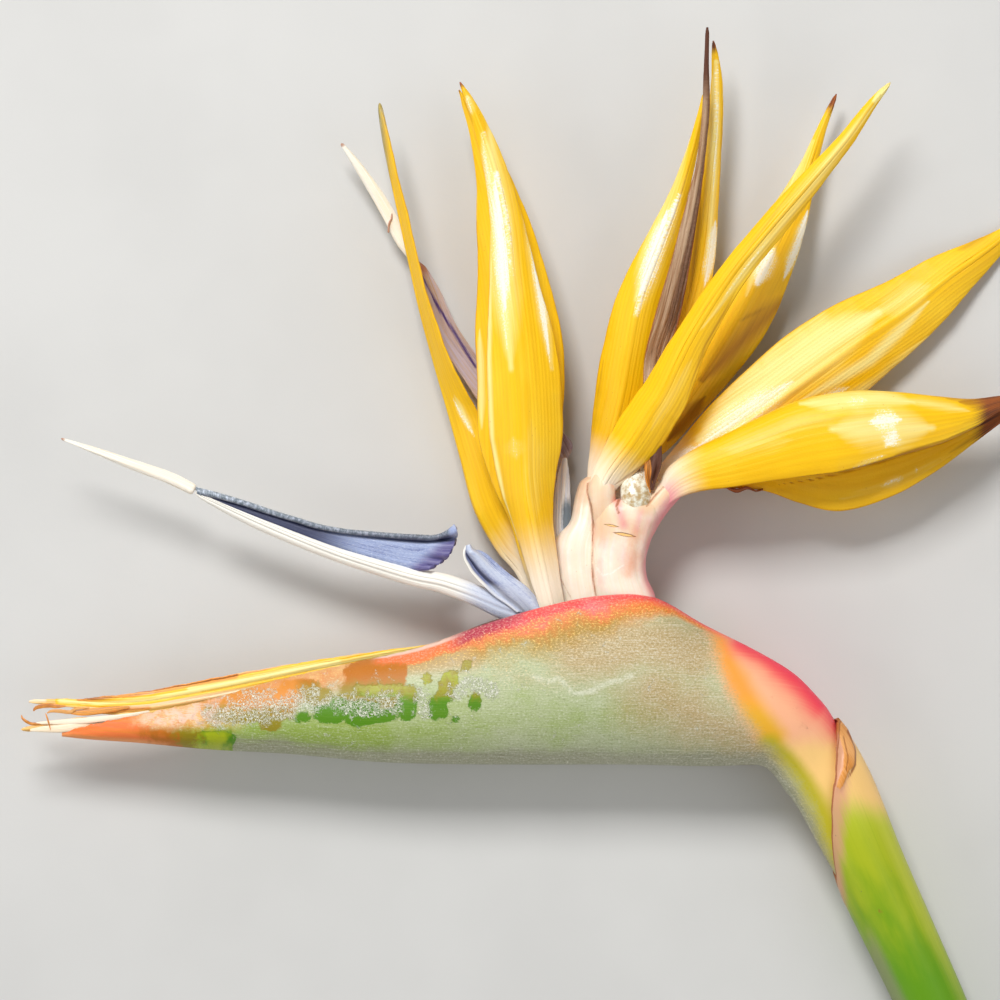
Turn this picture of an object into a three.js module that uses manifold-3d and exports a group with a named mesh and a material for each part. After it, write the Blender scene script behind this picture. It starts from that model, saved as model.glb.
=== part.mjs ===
// A cut bird of paradise flower lying on its side, with its beak-shaped spathe, three open florets
// and the top of its stem. Millimetres, +Z up. The origin is the middle of the flat spot on the
// underside of the spathe, on the surface that the flower lies on. X runs from the beak to the
// stem, Y from the keel of the spathe to the tips of the flowers.
import * as THREE from 'three';
import { LoftGeometry } from 'three/addons/geometries/LoftGeometry.js';
import { mergeVertices } from 'three/addons/utils/BufferGeometryUtils.js';
import Module from 'manifold-3d';

const wasm = await Module();
wasm.setup();

// Driving dimensions: walls, thicknesses and clearances
const CLEARANCE = 0.3;
const SPATHE_WALL = 1.3;
const NECK_WALL = 0.9;
const BEAK_WALL = 0.8;
const THINNEST = 0.3;
const SEPAL_MIDDLE = 1.3;
const SEPAL_EDGE = 0.7;
const PETAL_MIDDLE = 1.0;
const PETAL_EDGE = 0.65;
const BRACT_MIDDLE = 0.8;

// How the flower lies: the height of its middle plane, and how the stem sinks past the bend
const MID_HEIGHT = 12.4;
const BEND_X = 34;
const STEM_SLOPE = 0.09;

// Shares of a piece's length, from its root or its beak
const SOCKET_SHARE = 0.22;
const SMALL_SOCKET_SHARE = 0.5;
const HOLLOW = [0.05, 0.72];
const SLIT_END = 0.53;
const SLEEVE = [0.74, 1.01];
const MOUTH_INNER = 0.385;
const MOUTH_OUTER = 0.56;

// Curvature of the forms
const FOLD_SOFTNESS = 0.35;
const MARGIN_CURL = 2.1;
const SIDE_FULLNESS = [1.25, 0.95];
const NECK_START = [0.6, 0.8];
const RIM_POWER = 6;
const RIM_SHARE = 0.1;
const SLIT_LEVELS = [0.55, 1.2];
const MOUTH_SLANT = 0.68;
const MOUTH_CROWDING = 0.8;

// How finely the forms are divided
const SPATHE_SECTIONS = 26;
const HOLLOW_SECTIONS = 16;
const SLIT_SECTIONS = 14;
const SLEEVE_SECTIONS = 8;
const STEM_SHAPE = { sides: 12, along: 20 };
const SHEATH_SHAPE = { sides: 14, along: 7 };
const COLUMN_SHAPE = { sides: 12, along: 10 };
const STYLE_SHAPE = { sides: 8, along: 8 };
const BUD_SHAPE = { sides: 10, along: 6 };
const SEPAL = { middle: SEPAL_MIDDLE, edge: SEPAL_EDGE, along: 16, across: 6 };
const BOAT = { ...SEPAL, across: 10 };
const PETAL = { middle: PETAL_MIDDLE, edge: PETAL_EDGE, along: 12, across: 4 };
const ARROW = { ...PETAL, along: 20, across: 8 };
const BRACT = { middle: BRACT_MIDDLE, edge: PETAL_EDGE, along: 12, across: 2 };
const ROOT_SECTIONS = 4;

// Colour and roughness of the real surfaces
const FINISHES = {
  spathe: [0x93a47c, 0.6],
  sheath: [0x9cbf3c, 0.5],
  stem: [0xb9cf6a, 0.55],
  bract: [0xf0b548, 0.6],
  sepal: [0xf2c21a, 0.45],
  arrow: [0x4d5f9e, 0.5],
  dried: [0x8a6a4c, 0.8],
  mauve: [0xb9a7b4, 0.5],
  style: [0xf1ead8, 0.5],
  base: [0xf3e3cf, 0.5],
  bud: [0xb9b0a0, 0.6],
};

// Interpolation of a list of stations

function spline(stations, share) {
  const place = share * (stations.length - 1);
  const span = Math.min(Math.max(Math.floor(place), 0), stations.length - 2);
  const f = place - span;
  const before = stations[Math.max(span - 1, 0)];
  const from = stations[span];
  const to = stations[span + 1];
  const after = stations[Math.min(span + 2, stations.length - 1)];
  return from.map((value, k) => {
    const slopeIn = (to[k] - before[k]) / 2;
    const slopeOut = (after[k] - value) / 2;
    const rise = to[k] - value;
    return value + f * (slopeIn + f * (3 * rise - 2 * slopeIn - slopeOut
      + f * (slopeIn + slopeOut - 2 * rise)));
  });
}

// The point, the direction of travel and the two directions across it, at one share of the way.
// side lies level and points left of travel, up is square to side and to travel.
function frameAt(stations, share) {
  const step = 0.004;
  const [x, y, z] = spline(stations, share);
  const ahead = spline(stations, Math.min(share + step, 1));
  const behind = spline(stations, Math.max(share - step, 0));
  const travel = new THREE.Vector3(
    ahead[0] - behind[0], ahead[1] - behind[1], ahead[2] - behind[2]).normalize();
  const side = new THREE.Vector3(-travel.y, travel.x, 0).normalize();
  const up = new THREE.Vector3().crossVectors(travel, side);
  return { point: new THREE.Vector3(x, y, z), travel, side, up };
}

// Closed sheets

// Joins a front and a back grid of points into one closed sheet. Both faces are split along the
// same diagonals, so the sheet keeps its thickness where it is twisted.
function closedSheet(front, back) {
  const rows = front.length;
  const columns = front[0].length;
  const positions = [front, back].flat(2).flatMap((p) => [p.x, p.y, p.z]);
  const at = (face, i, j) => (face * rows + i) * columns + j;
  const index = [];
  for (let i = 0; i < rows - 1; i++) {
    for (let j = 0; j < columns - 1; j++) {
      index.push(at(0, i, j), at(0, i, j + 1), at(0, i + 1, j));
      index.push(at(0, i, j + 1), at(0, i + 1, j + 1), at(0, i + 1, j));
      index.push(at(1, i, j), at(1, i + 1, j), at(1, i, j + 1));
      index.push(at(1, i, j + 1), at(1, i + 1, j), at(1, i + 1, j + 1));
    }
    const last = columns - 1;
    index.push(at(0, i, 0), at(0, i + 1, 0), at(1, i, 0));
    index.push(at(0, i + 1, 0), at(1, i + 1, 0), at(1, i, 0));
    index.push(at(0, i, last), at(1, i, last), at(0, i + 1, last));
    index.push(at(0, i + 1, last), at(1, i, last), at(1, i + 1, last));
  }
  for (let j = 0; j < columns - 1; j++) {
    const last = rows - 1;
    index.push(at(0, 0, j), at(1, 0, j), at(0, 0, j + 1));
    index.push(at(0, 0, j + 1), at(1, 0, j), at(1, 0, j + 1));
    index.push(at(0, last, j), at(0, last, j + 1), at(1, last, j));
    index.push(at(0, last, j + 1), at(1, last, j + 1), at(1, last, j));
  }
  const geometry = new THREE.BufferGeometry();
  geometry.setAttribute('position', new THREE.Float32BufferAttribute(positions, 3));
  geometry.setIndex(index);
  return geometry;
}

// Thickens a surface, given as a function of the share along and of s from -1 to 1 across. The
// sheet is thick in its middle and thin at its edges, and grow adds to it on every side.
function thicken(surface, { middle, edge, along, across, reach = 1, grow = 0 }) {
  const front = [];
  const back = [];
  const step = 0.02;
  for (let i = 0; i <= along; i++) {
    const share = reach * i / along;
    const frontRow = [];
    const backRow = [];
    for (let j = 0; j <= across; j++) {
      const s = 1 - 2 * j / across;
      const point = surface(share, s, grow);
      const lengthways = surface(share + step, s, grow).sub(surface(share - step, s, grow));
      const crossways = surface(share, s + step, grow).sub(surface(share, s - step, grow));
      const normal = lengthways.cross(crossways).normalize();
      const half = (edge + (middle - edge) * (1 - s * s)) / 2 + grow;
      frontRow.push(point.clone().addScaledVector(normal, half));
      backRow.push(point.clone().addScaledVector(normal, -half));
    }
    front.push(frontRow);
    back.push(backRow);
  }
  return closedSheet(front, back);
}

// How far a point lies past the end of its stations: a straight run for the slopes at the ends,
// and the clearance before the root
function beyond(share, inside, grow) {
  const run = 10;
  return (share - inside) * run - (share <= 0 ? grow : 0);
}

// A blade: stations of its midrib as [x, y, z, half width, turn, fold], in mm and degrees. At
// turn 0 the blade faces up, and a fold under 0 lowers both edges, which makes a keel on top.
function bladeSurface(stations) {
  return (share, s, grow) => {
    const inside = THREE.MathUtils.clamp(share, 0, 1);
    const { point, travel, side, up } = frameAt(stations, inside);
    const [, , , width, turn, fold] = spline(stations, inside);
    const roll = THREE.MathUtils.degToRad(turn);
    const bend = THREE.MathUtils.degToRad(fold);
    const half = width + grow;
    const across = side.clone().multiplyScalar(Math.cos(roll)).addScaledVector(up, Math.sin(roll));
    const out = up.clone().multiplyScalar(Math.cos(roll)).addScaledVector(side, -Math.sin(roll));
    const softened = Math.hypot(s, FOLD_SOFTNESS) - FOLD_SOFTNESS;
    const lift = softened / (Math.hypot(1, FOLD_SOFTNESS) - FOLD_SOFTNESS);
    point.addScaledVector(across, half * s * Math.cos(bend));
    point.addScaledVector(out, half * lift * Math.sin(bend));
    return point.addScaledVector(travel, beyond(share, inside, grow));
  };
}

// A folded blade, like a narrow boat on its side: stations as keel x, y, z, then the x and y of
// the near margin and of the far margin, then how far the two sides swell up and down.
function boatSurface(stations) {
  return (share, s, grow) => {
    const inside = THREE.MathUtils.clamp(share, 0, 1);
    const [x, y, z, nearX, nearY, farX, farY, swell] = spline(stations, inside);
    const { travel } = frameAt(stations, inside);
    const a = Math.abs(s);
    const rise = 1 - Math.cos(a * Math.PI / 2);
    const [marginX, marginY] = s > 0 ? [nearX, nearY] : [farX, farY];
    const stretch = 1 + grow / Math.hypot(marginX - x, marginY - y);
    const point = new THREE.Vector3(
      x + (marginX - x) * rise * stretch,
      y + (marginY - y) * rise * stretch,
      z + Math.sign(s) * swell * Math.sin(MARGIN_CURL * a));
    return point.addScaledVector(travel, beyond(share, inside, grow));
  };
}

// A rod or column: stations of its axis as [x, y, z, level radius, upright radius]
function rod(stations, { sides, along, grow = 0 }) {
  const sections = [];
  for (let i = 0; i <= along; i++) {
    const share = i / along;
    const { point, travel, side, up } = frameAt(stations, share);
    const [, , , level, upright] = spline(stations, share);
    if (i === 0) point.addScaledVector(travel, -grow);
    if (i === along) point.addScaledVector(travel, grow);
    const ring = [];
    for (let k = 0; k < sides; k++) {
      const angle = 2 * Math.PI * k / sides;
      ring.push(point.clone()
        .addScaledVector(side, (level + grow) * Math.cos(angle))
        .addScaledVector(up, (upright + grow) * Math.sin(angle)));
    }
    sections.push(ring);
  }
  return new LoftGeometry(sections, { capStart: true, capEnd: true });
}

// Cutting

function toSolid(geometry) {
  const plain = new THREE.BufferGeometry();
  plain.setAttribute('position', geometry.getAttribute('position').clone());
  plain.setIndex(geometry.getIndex().clone());
  const merged = mergeVertices(plain, 1e-4);
  return new wasm.Manifold(new wasm.Mesh({
    numProp: 3,
    vertProperties: Float32Array.from(merged.getAttribute('position').array),
    triVerts: Uint32Array.from(merged.getIndex().array),
  }));
}

function toGeometry(solid) {
  const mesh = solid.getMesh();
  const geometry = new THREE.BufferGeometry();
  geometry.setAttribute('position', new THREE.BufferAttribute(mesh.vertProperties, 3));
  geometry.setIndex(new THREE.BufferAttribute(mesh.triVerts, 1));
  return geometry;
}

function cut(geometry, cutters) {
  const solid = cutters.reduce((left, cutter) => left.subtract(toSolid(cutter)), toSolid(geometry));
  return toGeometry(solid);
}

// The sepals, root to tip

const SEPALS = {
  sepal_a1: [
    [-12.6, 16.6, 9.0, 2.2, -55, -30],
    [-16.4, 23.6, 8.4, 3.2, -52, -38],
    [-20.4, 28.6, 8.2, 5.4, -52, -38],
    [-24.5, 36.4, 8.4, 7.0, -52, -38],
    [-27.3, 46.4, 8.4, 6.6, -60, -30],
    [-29.4, 54.0, 8.4, 6.6, -64, -26],
    [-32.4, 64.4, 9.2, 6.4, -76, -13],
    [-35.8, 77.0, 10.4, 5.2, -80, -9],
    [-39.3, 93.0, 11.4, 4.0, -81, -7],
    [-42.5, 108.0, 12.0, 2.8, -82, -6],
    [-44.1, 117.4, 12.4, 0.4, -82, -6],
  ],
  sepal_a2: [
    [-8.8, 14.0, 18.0, 2.6, 0, -30],
    [-10.6, 21.0, 18.2, 3.4, 0, -32],
    [-13.2, 33.6, 19.2, 4.9, 4, -30],
    [-14.4, 42.0, 20.2, 6.5, 4, -26],
    [-14.6, 51.0, 21.0, 8.0, 3, -22],
    [-15.1, 61.0, 21.4, 7.9, 2, -20],
    [-16.0, 71.0, 21.2, 7.1, 0, -20],
    [-17.4, 82.0, 20.4, 5.3, 0, -22],
    [-18.6, 93.0, 19.4, 3.8, 0, -24],
    [-21.0, 104.0, 18.0, 2.65, 0, -26],
    [-24.4, 114.0, 16.6, 1.5, 0, -28],
    [-28.0, 121.4, 15.6, 0.4, 0, -28],
  ],
  sepal_a3: [
    [-10.0, 14.4, 11.8, 2.2, 0, -20],
    [-11.4, 20.0, 12.6, 2.5, 4, -22],
    [-12.8, 27.0, 13.6, 3.3, 8, -22],
    [-14.0, 35.4, 14.6, 4.6, 12, -20],
    [-15.2, 42.4, 15.2, 6.6, 12, -18],
    [-15.8, 51.0, 15.4, 8.6, 8, -16],
    [-15.6, 62.0, 15.4, 9.2, 4, -16],
    [-16.4, 72.4, 15.2, 8.9, 2, -16],
    [-17.8, 84.0, 14.8, 7.2, 0, -18],
    [-19.6, 94.0, 14.2, 5.6, 0, -20],
    [-21.6, 103.0, 13.6, 3.7, 0, -22],
    [-25.0, 113.0, 13.0, 1.7, 0, -24],
    [-28.2, 120.0, 12.8, 0.4, 0, -24],
  ],
  sepal_b1: [
    [-0.6, 39.4, 11.0, 2.0, 0, -20],
    [0.2, 44.4, 11.2, 3.0, 0, -22],
    [2.4, 51.0, 11.8, 4.7, 0, -22],
    [4.4, 59.0, 12.6, 5.8, 0, -20],
    [5.8, 67.0, 13.2, 5.9, 0, -20],
    [8.0, 78.0, 13.6, 5.0, 0, -20],
    [12.2, 89.4, 13.8, 3.6, 0, -20],
    [15.4, 98.0, 13.6, 2.2, 0, -20],
    [18.0, 106.4, 13.4, 1.4, 0, -20],
    [20.0, 114.4, 13.2, 0.8, 0, -20],
    [20.9, 119.4, 13.0, 0.4, 0, -20],
  ],
  sepal_b2: [
    [1.0, 39.6, 8.6, 1.8, 0, -16],
    [3.2, 45.4, 8.6, 2.6, 0, -18],
    [8.0, 54.0, 8.6, 3.6, 0, -20],
    [12.4, 63.0, 8.8, 3.9, 0, -20],
    [16.4, 73.0, 9.2, 3.9, 0, -22],
    [19.2, 82.0, 9.6, 3.7, 0, -24],
    [20.6, 90.0, 9.9, 3.3, 0, -26],
    [21.4, 98.0, 10.1, 2.8, 0, -28],
    [22.4, 107.0, 10.3, 2.3, 0, -28],
    [23.2, 116.0, 10.4, 1.8, 0, -28],
    [23.4, 123.0, 10.4, 1.2, 0, -28],
    [22.7, 130.0, 10.4, 0.4, 0, -28],
  ],
  sepal_b3: [
    [2.4, 39.2, 6.0, 1.9, 0, -15],
    [7.2, 45.6, 5.8, 2.6, 0, -18],
    [12.4, 51.6, 6.0, 3.8, 0, -20],
    [18.0, 58.8, 6.8, 4.4, 0, -20],
    [23.0, 66.0, 7.8, 5.6, 0, -20],
    [28.4, 75.0, 8.6, 6.5, 0, -20],
    [33.6, 85.6, 8.8, 5.9, 0, -20],
    [38.0, 95.0, 8.2, 4.2, 0, -20],
    [41.6, 104.0, 7.2, 2.2, 0, -20],
    [44.4, 112.0, 6.2, 1.1, 0, -20],
    [47.6, 119.6, 5.2, 0.4, 0, -20],
  ],
  sepal_c1: [
    [0.6, 36.4, 16.4, 2.4, 0, -25],
    [0.9, 41.6, 17.8, 3.3, 0, -25],
    [6.6, 49.6, 19.6, 5.4, 0, -22],
    [10.4, 55.6, 20.6, 5.4, -5, -22],
    [12.8, 59.4, 21.0, 5.1, -6, -22],
    [18.0, 70.0, 21.6, 4.0, -8, -22],
    [25.6, 82.0, 21.8, 3.2, -6, -22],
    [33.0, 91.2, 21.4, 3.1, -4, -22],
    [40.6, 100.0, 20.6, 2.6, 0, -22],
    [48.6, 109.4, 19.4, 1.8, 0, -22],
    [54.0, 116.8, 18.4, 1.1, 0, -20],
    [57.8, 121.2, 17.8, 0.4, 0, -20],
  ],
  sepal_c2: [
    [10.0, 38.6, 10.6, 2.2, 0, -15],
    [16.0, 44.4, 11.0, 3.6, 4, -15],
    [25.0, 50.4, 11.0, 6.9, 8, -15],
    [34.2, 56.7, 10.4, 8.8, 8, -15],
    [43.2, 63.3, 9.4, 9.8, 7, -15],
    [52.2, 69.7, 8.2, 9.2, 5, -15],
    [61.2, 75.7, 6.6, 7.5, 3, -15],
    [70.0, 82.6, 4.8, 5.5, 0, -15],
    [80.0, 89.8, 2.2, 2.5, 0, -15],
    [86.0, 95.4, 0.8, 0.4, 0, -15],
  ],
};

// The boat-shaped sepal, whose keel is uppermost and whose mouth opens to the right

const BOAT_SEPAL = [
  [10.9, 36.4, 14.6, 12.8, 33.2, 12.8, 33.0, 1.6],
  [13.4, 43.2, 15.0, 15.2, 38.2, 15.2, 38.0, 2.0],
  [18.0, 47.0, 15.4, 19.4, 39.8, 19.4, 39.6, 2.6],
  [24.4, 50.2, 15.8, 25.8, 40.6, 25.8, 40.4, 3.4],
  [32.0, 54.0, 16.0, 34.0, 41.8, 33.0, 39.8, 4.2],
  [40.0, 57.4, 16.0, 41.6, 42.8, 40.0, 37.4, 4.8],
  [50.0, 59.2, 15.8, 49.6, 44.0, 48.4, 35.8, 5.0],
  [59.0, 59.0, 15.2, 59.4, 46.8, 58.6, 38.8, 4.4],
  [66.8, 58.2, 14.2, 67.6, 49.2, 67.0, 43.6, 3.4],
  [74.0, 57.6, 13.0, 74.6, 52.4, 74.4, 49.0, 2.2],
  [80.0, 58.2, 11.8, 80.0, 55.8, 80.0, 53.2, 1.2],
  [86.0, 58.6, 10.8, 86.0, 57.6, 86.0, 57.2, 0.7],
];

// The petals and styles

const ARROW_A = [
  [-16.0, 12.4, 12.2, -14.0, 16.4, -14.0, 16.4, 1.3],
  [-20.6, 14.6, 12.4, -19.0, 18.8, -19.0, 18.8, 1.4],
  [-27.6, 17.8, 12.6, -26.4, 21.8, -26.4, 21.8, 1.4],
  [-32.0, 19.8, 12.8, -30.8, 23.6, -30.8, 23.6, 1.5],
  [-33.4, 20.3, 12.8, -28.8, 31.8, -29.6, 31.6, 2.4],
  [-37.2, 21.0, 13.0, -36.0, 30.6, -36.2, 30.8, 2.6],
  [-49.8, 24.8, 13.2, -49.6, 32.2, -49.6, 32.4, 2.4],
  [-62.6, 29.4, 13.4, -62.0, 35.0, -62.0, 35.0, 2.0],
  [-72.8, 34.0, 13.6, -72.0, 37.8, -72.0, 37.8, 1.5],
  [-79.2, 37.4, 13.6, -77.8, 39.6, -77.8, 39.6, 1.0],
  [-80.8, 38.8, 13.6, -79.8, 40.2, -79.8, 40.2, 0.8],
];

const PETALS = {
  arrow_petal_b: {
    finish: 'mauve',
    share: SOCKET_SHARE,
    stations: [
      [-6.4, 22.0, 8.6, 1.8, 0, 16],
      [-8.8, 33.0, 6.8, 1.9, 0, 16],
      [-10.6, 41.0, 5.6, 2.0, 0, 16],
      [-12.4, 45.4, 4.8, 8.0, 0, 10],
      [-16.0, 51.6, 4.2, 5.2, 0, 14],
      [-21.0, 58.6, 3.8, 3.6, 0, 18],
      [-26.8, 66.0, 3.6, 2.7, 0, 22],
      [-31.0, 72.4, 3.6, 2.5, 0, 22],
      [-34.0, 79.8, 4.0, 2.0, 0, 22],
      [-36.8, 86.2, 4.2, 0.9, 0, 16],
    ],
  },
  arrow_petal_c: {
    finish: 'dried',
    share: SOCKET_SHARE,
    stations: [
      [5.0, 34.4, 11.6, 1.2, 0, -25],
      [7.2, 43.0, 12.2, 1.4, 0, -25],
      [9.4, 50.0, 13.6, 1.6, 0, -25],
      [10.4, 57.0, 15.2, 1.9, 0, -25],
      [11.0, 66.0, 15.4, 2.4, 0, -25],
      [13.6, 75.0, 15.8, 2.8, 0, -25],
      [16.2, 85.6, 15.9, 2.2, 0, -25],
      [18.4, 96.0, 15.7, 1.6, 0, -25],
      [20.2, 106.0, 15.3, 0.9, 0, -20],
      [21.2, 116.0, 15.0, 0.8, 0, -20],
      [21.3, 124.0, 14.8, 0.7, 0, -20],
      [21.4, 132.4, 14.6, 0.4, 0, -20],
    ],
  },
  small_petal_a: {
    finish: 'arrow',
    share: SOCKET_SHARE,
    stations: [
      [-13.4, 16.2, 15.4, 1.6, 0, 15],
      [-17.0, 19.6, 15.8, 2.4, 0, 20],
      [-21.2, 22.8, 16.2, 2.7, 0, 25],
      [-24.2, 25.6, 16.4, 2.4, 0, 25],
      [-26.4, 28.2, 16.4, 1.3, 0, 20],
    ],
  },
  small_petal_b: {
    finish: 'mauve',
    share: SMALL_SOCKET_SHARE,
    stations: [
      [-6.6, 25.0, 11.4, 1.5, 0, -16],
      [-7.5, 31.6, 10.9, 1.8, 0, -18],
      [-7.5, 37.0, 10.3, 1.8, 0, -18],
      [-7.3, 42.6, 10.0, 1.2, 0, -18],
      [-7.0, 46.6, 10.0, 0.4, 0, -18],
    ],
  },
};

const STYLES = {
  style_a: [
    [-80.95, 39.9, 13.7, 1.15, 1.0],
    [-86.0, 42.4, 13.8, 1.2, 1.0],
    [-94.2, 45.4, 14.0, 1.0, 0.9],
    [-101.0, 47.9, 14.2, 0.65, 0.6],
    [-107.7, 50.3, 14.4, 0.35, 0.35],
  ],
  style_b: [
    [-37.05, 86.55, 4.3, 1.0, 0.7],
    [-39.6, 90.0, 4.5, 1.3, 0.8],
    [-42.2, 95.0, 4.8, 1.35, 0.8],
    [-45.1, 100.0, 5.3, 1.2, 0.8],
    [-48.6, 105.2, 6.0, 0.85, 0.65],
    [-51.9, 109.6, 6.8, 0.4, 0.4],
  ],
};

// The dried strips of the inner bract, which stand in the slit and run out past the beak

const INNER_BRACTS = {
  inner_bract_a: [
    [-34.0, 8.2, 12.4, 0.9, 0, 0],
    [-50.0, 5.2, 12.3, 1.8, 0, 0],
    [-69.0, 1.2, 12.2, 2.7, 0, 0],
    [-80.0, -1.0, 12.1, 2.8, 0, 0],
    [-91.0, -2.8, 12.1, 2.5, 0, 0],
    [-99.5, -3.0, 12.2, 1.7, 0, 0],
    [-104.5, -2.7, 12.3, 0.9, 0, 0],
    [-109.5, -2.4, 12.4, 0.6, 0, 0],
    [-114.2, -2.3, 12.4, 0.35, 0, 0],
  ],
  inner_bract_b: [
    [-84.0, -7.0, 12.4, 1.4, 0, 0],
    [-94.0, -6.9, 12.4, 1.6, 0, 0],
    [-102.0, -6.8, 12.4, 1.4, 0, 0],
    [-107.6, -7.0, 12.4, 1.1, 0, 0],
    [-111.5, -7.5, 12.4, 0.8, 0, 0],
    [-115.8, -7.9, 12.5, 0.35, 0, 0],
  ],
};

// The columns that carry the florets, from the stem inside the spathe up to the sepals

const COLUMNS = {
  floret_a_base: [
    [-5.4, -1.4, 12.4, 1.8, 3.4],
    [-6.8, 5.0, 12.5, 2.5, 4.6],
    [-8.8, 11.4, 12.8, 3.4, 5.8],
    [-10.5, 15.6, 13.0, 4.2, 6.2],
    [-11.7, 18.6, 13.0, 3.0, 4.6],
  ],
  floret_b_base: [
    [-1.0, -1.4, 12.2, 1.8, 3.4],
    [-1.8, 5.0, 11.8, 2.1, 4.2],
    [-2.9, 12.0, 11.4, 2.2, 4.8],
    [-3.7, 18.0, 11.0, 2.5, 4.8],
    [-4.8, 24.0, 10.4, 3.7, 4.4],
    [-4.6, 28.0, 10.0, 3.8, 4.2],
    [-2.9, 32.6, 9.4, 2.9, 4.0],
    [-1.9, 37.0, 8.9, 3.4, 3.9],
    [-0.8, 41.0, 8.6, 3.4, 3.8],
    [0.6, 43.6, 8.5, 3.2, 3.6],
  ],
  floret_c_base: [
    [4.2, -1.4, 12.4, 2.4, 3.6],
    [4.8, 5.0, 12.6, 3.5, 4.6],
    [5.1, 12.0, 13.0, 5.0, 5.4],
    [5.0, 18.6, 13.2, 5.9, 5.6],
    [4.5, 26.0, 13.6, 5.5, 5.2],
    [4.8, 32.0, 14.0, 6.0, 5.0],
    [5.8, 37.4, 14.4, 7.3, 4.7],
  ],
};

const SPENT_BUD = [
  [7.0, 34.0, 15.2, 1.8, 1.4],
  [7.1, 37.4, 15.5, 2.9, 1.8],
  [7.2, 40.8, 15.2, 3.1, 1.7],
  [7.6, 43.4, 14.5, 2.3, 1.2],
  [7.9, 44.6, 14.3, 1.4, 0.8],
];

// The stem, from its cut end to its tip inside the spathe: x, y, z, the two radii, and the radius
// of the sheath round it

const STEM = [
  [84.4, -106.2, 6.8, 5.6, 5.6, 6.8],
  [75.0, -84.0, 7.8, 5.6, 5.6, 6.8],
  [67.2, -64.6, 8.8, 5.5, 5.5, 6.9],
  [59.6, -48.0, 9.8, 5.4, 5.4, 7.2],
  [53.4, -34.8, 10.6, 5.3, 5.3, 7.6],
  [45.8, -17.8, 11.3, 5.4, 5.4, 8.1],
  [37.6, -7.6, 12.0, 6.2, 5.9, 8.8],
  [27.0, -3.0, 12.4, 5.6, 5.4, 8.8],
  [14.0, -2.2, 12.4, 5.0, 5.0, 8.8],
  [0.0, -2.6, 12.4, 4.4, 4.4, 8.8],
  [-8.0, -3.0, 12.4, 2.6, 2.8, 8.8],
];

// The spathe: stations from the beak to the neck, as the x and y of the keel, the x and y of the
// margin, the half depth, the half gap of the slit between the margins, and the wall.

const SPATHE = [
  [-107.6, -9.3, -107.6, -8.5, 0.9, 0.3, 0.3],
  [-102.0, -9.9, -102.0, -7.0, 2.0, 0.9, BEAK_WALL],
  [-92.0, -10.6, -90.8, -4.6, 3.6, 1.2, BEAK_WALL],
  [-78.0, -11.9, -79.0, -2.1, 5.6, 1.3, 1.0],
  [-62.0, -12.8, -66.0, 1.7, 7.6, 1.4, 1.2],
  [-46.0, -14.3, -51.0, 5.2, 9.4, 1.5, SPATHE_WALL],
  [-32.0, -14.8, -36.0, 8.6, 11.0, 2.4, SPATHE_WALL],
  [-18.0, -14.9, -22.0, 13.6, 12.4, 5.4, SPATHE_WALL],
  [-6.0, -14.9, -10.0, 17.1, 13.6, 7.2, SPATHE_WALL],
  [3.0, -14.9, 0.4, 19.0, 13.8, 7.2, SPATHE_WALL],
  [11.0, -15.0, 10.6, 18.6, 13.6, 5.0, SPATHE_WALL],
  [18.0, -15.2, 21.0, 13.0, 12.2, 0.4, SPATHE_WALL],
  [24.0, -15.2, 31.0, 8.0, 11.0, 0.4, SPATHE_WALL],
  [29.2, -15.0, 38.4, 3.6, 10.0, 0.4, SPATHE_WALL],
  [32.4, -15.2, 43.0, -0.8, 9.2, 0.4, SPATHE_WALL],
  [34.6, -16.8, 46.2, -4.8, 8.2, 0.4, SPATHE_WALL],
  [36.8, -19.8, 48.9, -10.4, 7.2, 0.4, SPATHE_WALL],
  [39.6, -23.6, 52.0, -16.6, 6.9, 0.4, 1.2],
  [44.4, -32.2, 56.6, -27.2, 6.6, 0.4, NECK_WALL],
  [49.8, -41.6, 59.8, -37.2, 6.3, 0.4, NECK_WALL],
];

const spatheHeight = (x) => MID_HEIGHT - Math.max(0, (x - BEND_X) * STEM_SLOPE);

// One ring of the spathe, inset by a share of its wall, or grown by a clearance. The two margins
// stand apart at the top, and nothing reaches below the surface that the flower lies on.
function spatheRing(share, { inset = 0, grow = 0, steps = 7 } = {}) {
  const [keelX, keelY, marginX, marginY, depth, gap, wall] = spline(SPATHE, share);
  const keel = new THREE.Vector2(keelX, keelY);
  const margin = new THREE.Vector2(marginX, marginY);
  const inwards = inset * wall - grow;
  const start = inwards / keel.distanceTo(margin);
  const rim = Math.max(gap + wall - inwards, THINNEST);
  const half = Math.max(depth - inwards, THINNEST);
  const neck = THREE.MathUtils.smoothstep(share, ...NECK_START);
  const sharpness = THREE.MathUtils.lerp(...SIDE_FULLNESS, neck);
  const nearSide = [];
  const farSide = [];
  for (let k = 0; k <= steps; k++) {
    const angle = Math.PI * k / steps;
    const up = (1 - Math.cos(angle)) / 2;
    const swell = (half - RIM_SHARE * rim) * Math.max(Math.sin(angle), 0) ** sharpness;
    const z = swell + rim * up ** RIM_POWER;
    const place = keel.clone().lerp(margin, start + (1 - 2 * start) * up);
    const level = spatheHeight(place.x);
    nearSide.push(new THREE.Vector3(place.x, place.y, level + z));
    farSide.push(new THREE.Vector3(place.x, place.y, Math.max(level - z, inset * wall)));
  }
  return [...farSide.slice(1), ...nearSide.reverse()];
}

function spatheLoft(from, to, count, options) {
  const sections = [];
  for (let i = 0; i <= count; i++) {
    sections.push(spatheRing(THREE.MathUtils.lerp(from, to, i / count), options));
  }
  return new LoftGeometry(sections, { capStart: true, capEnd: true });
}

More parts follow.
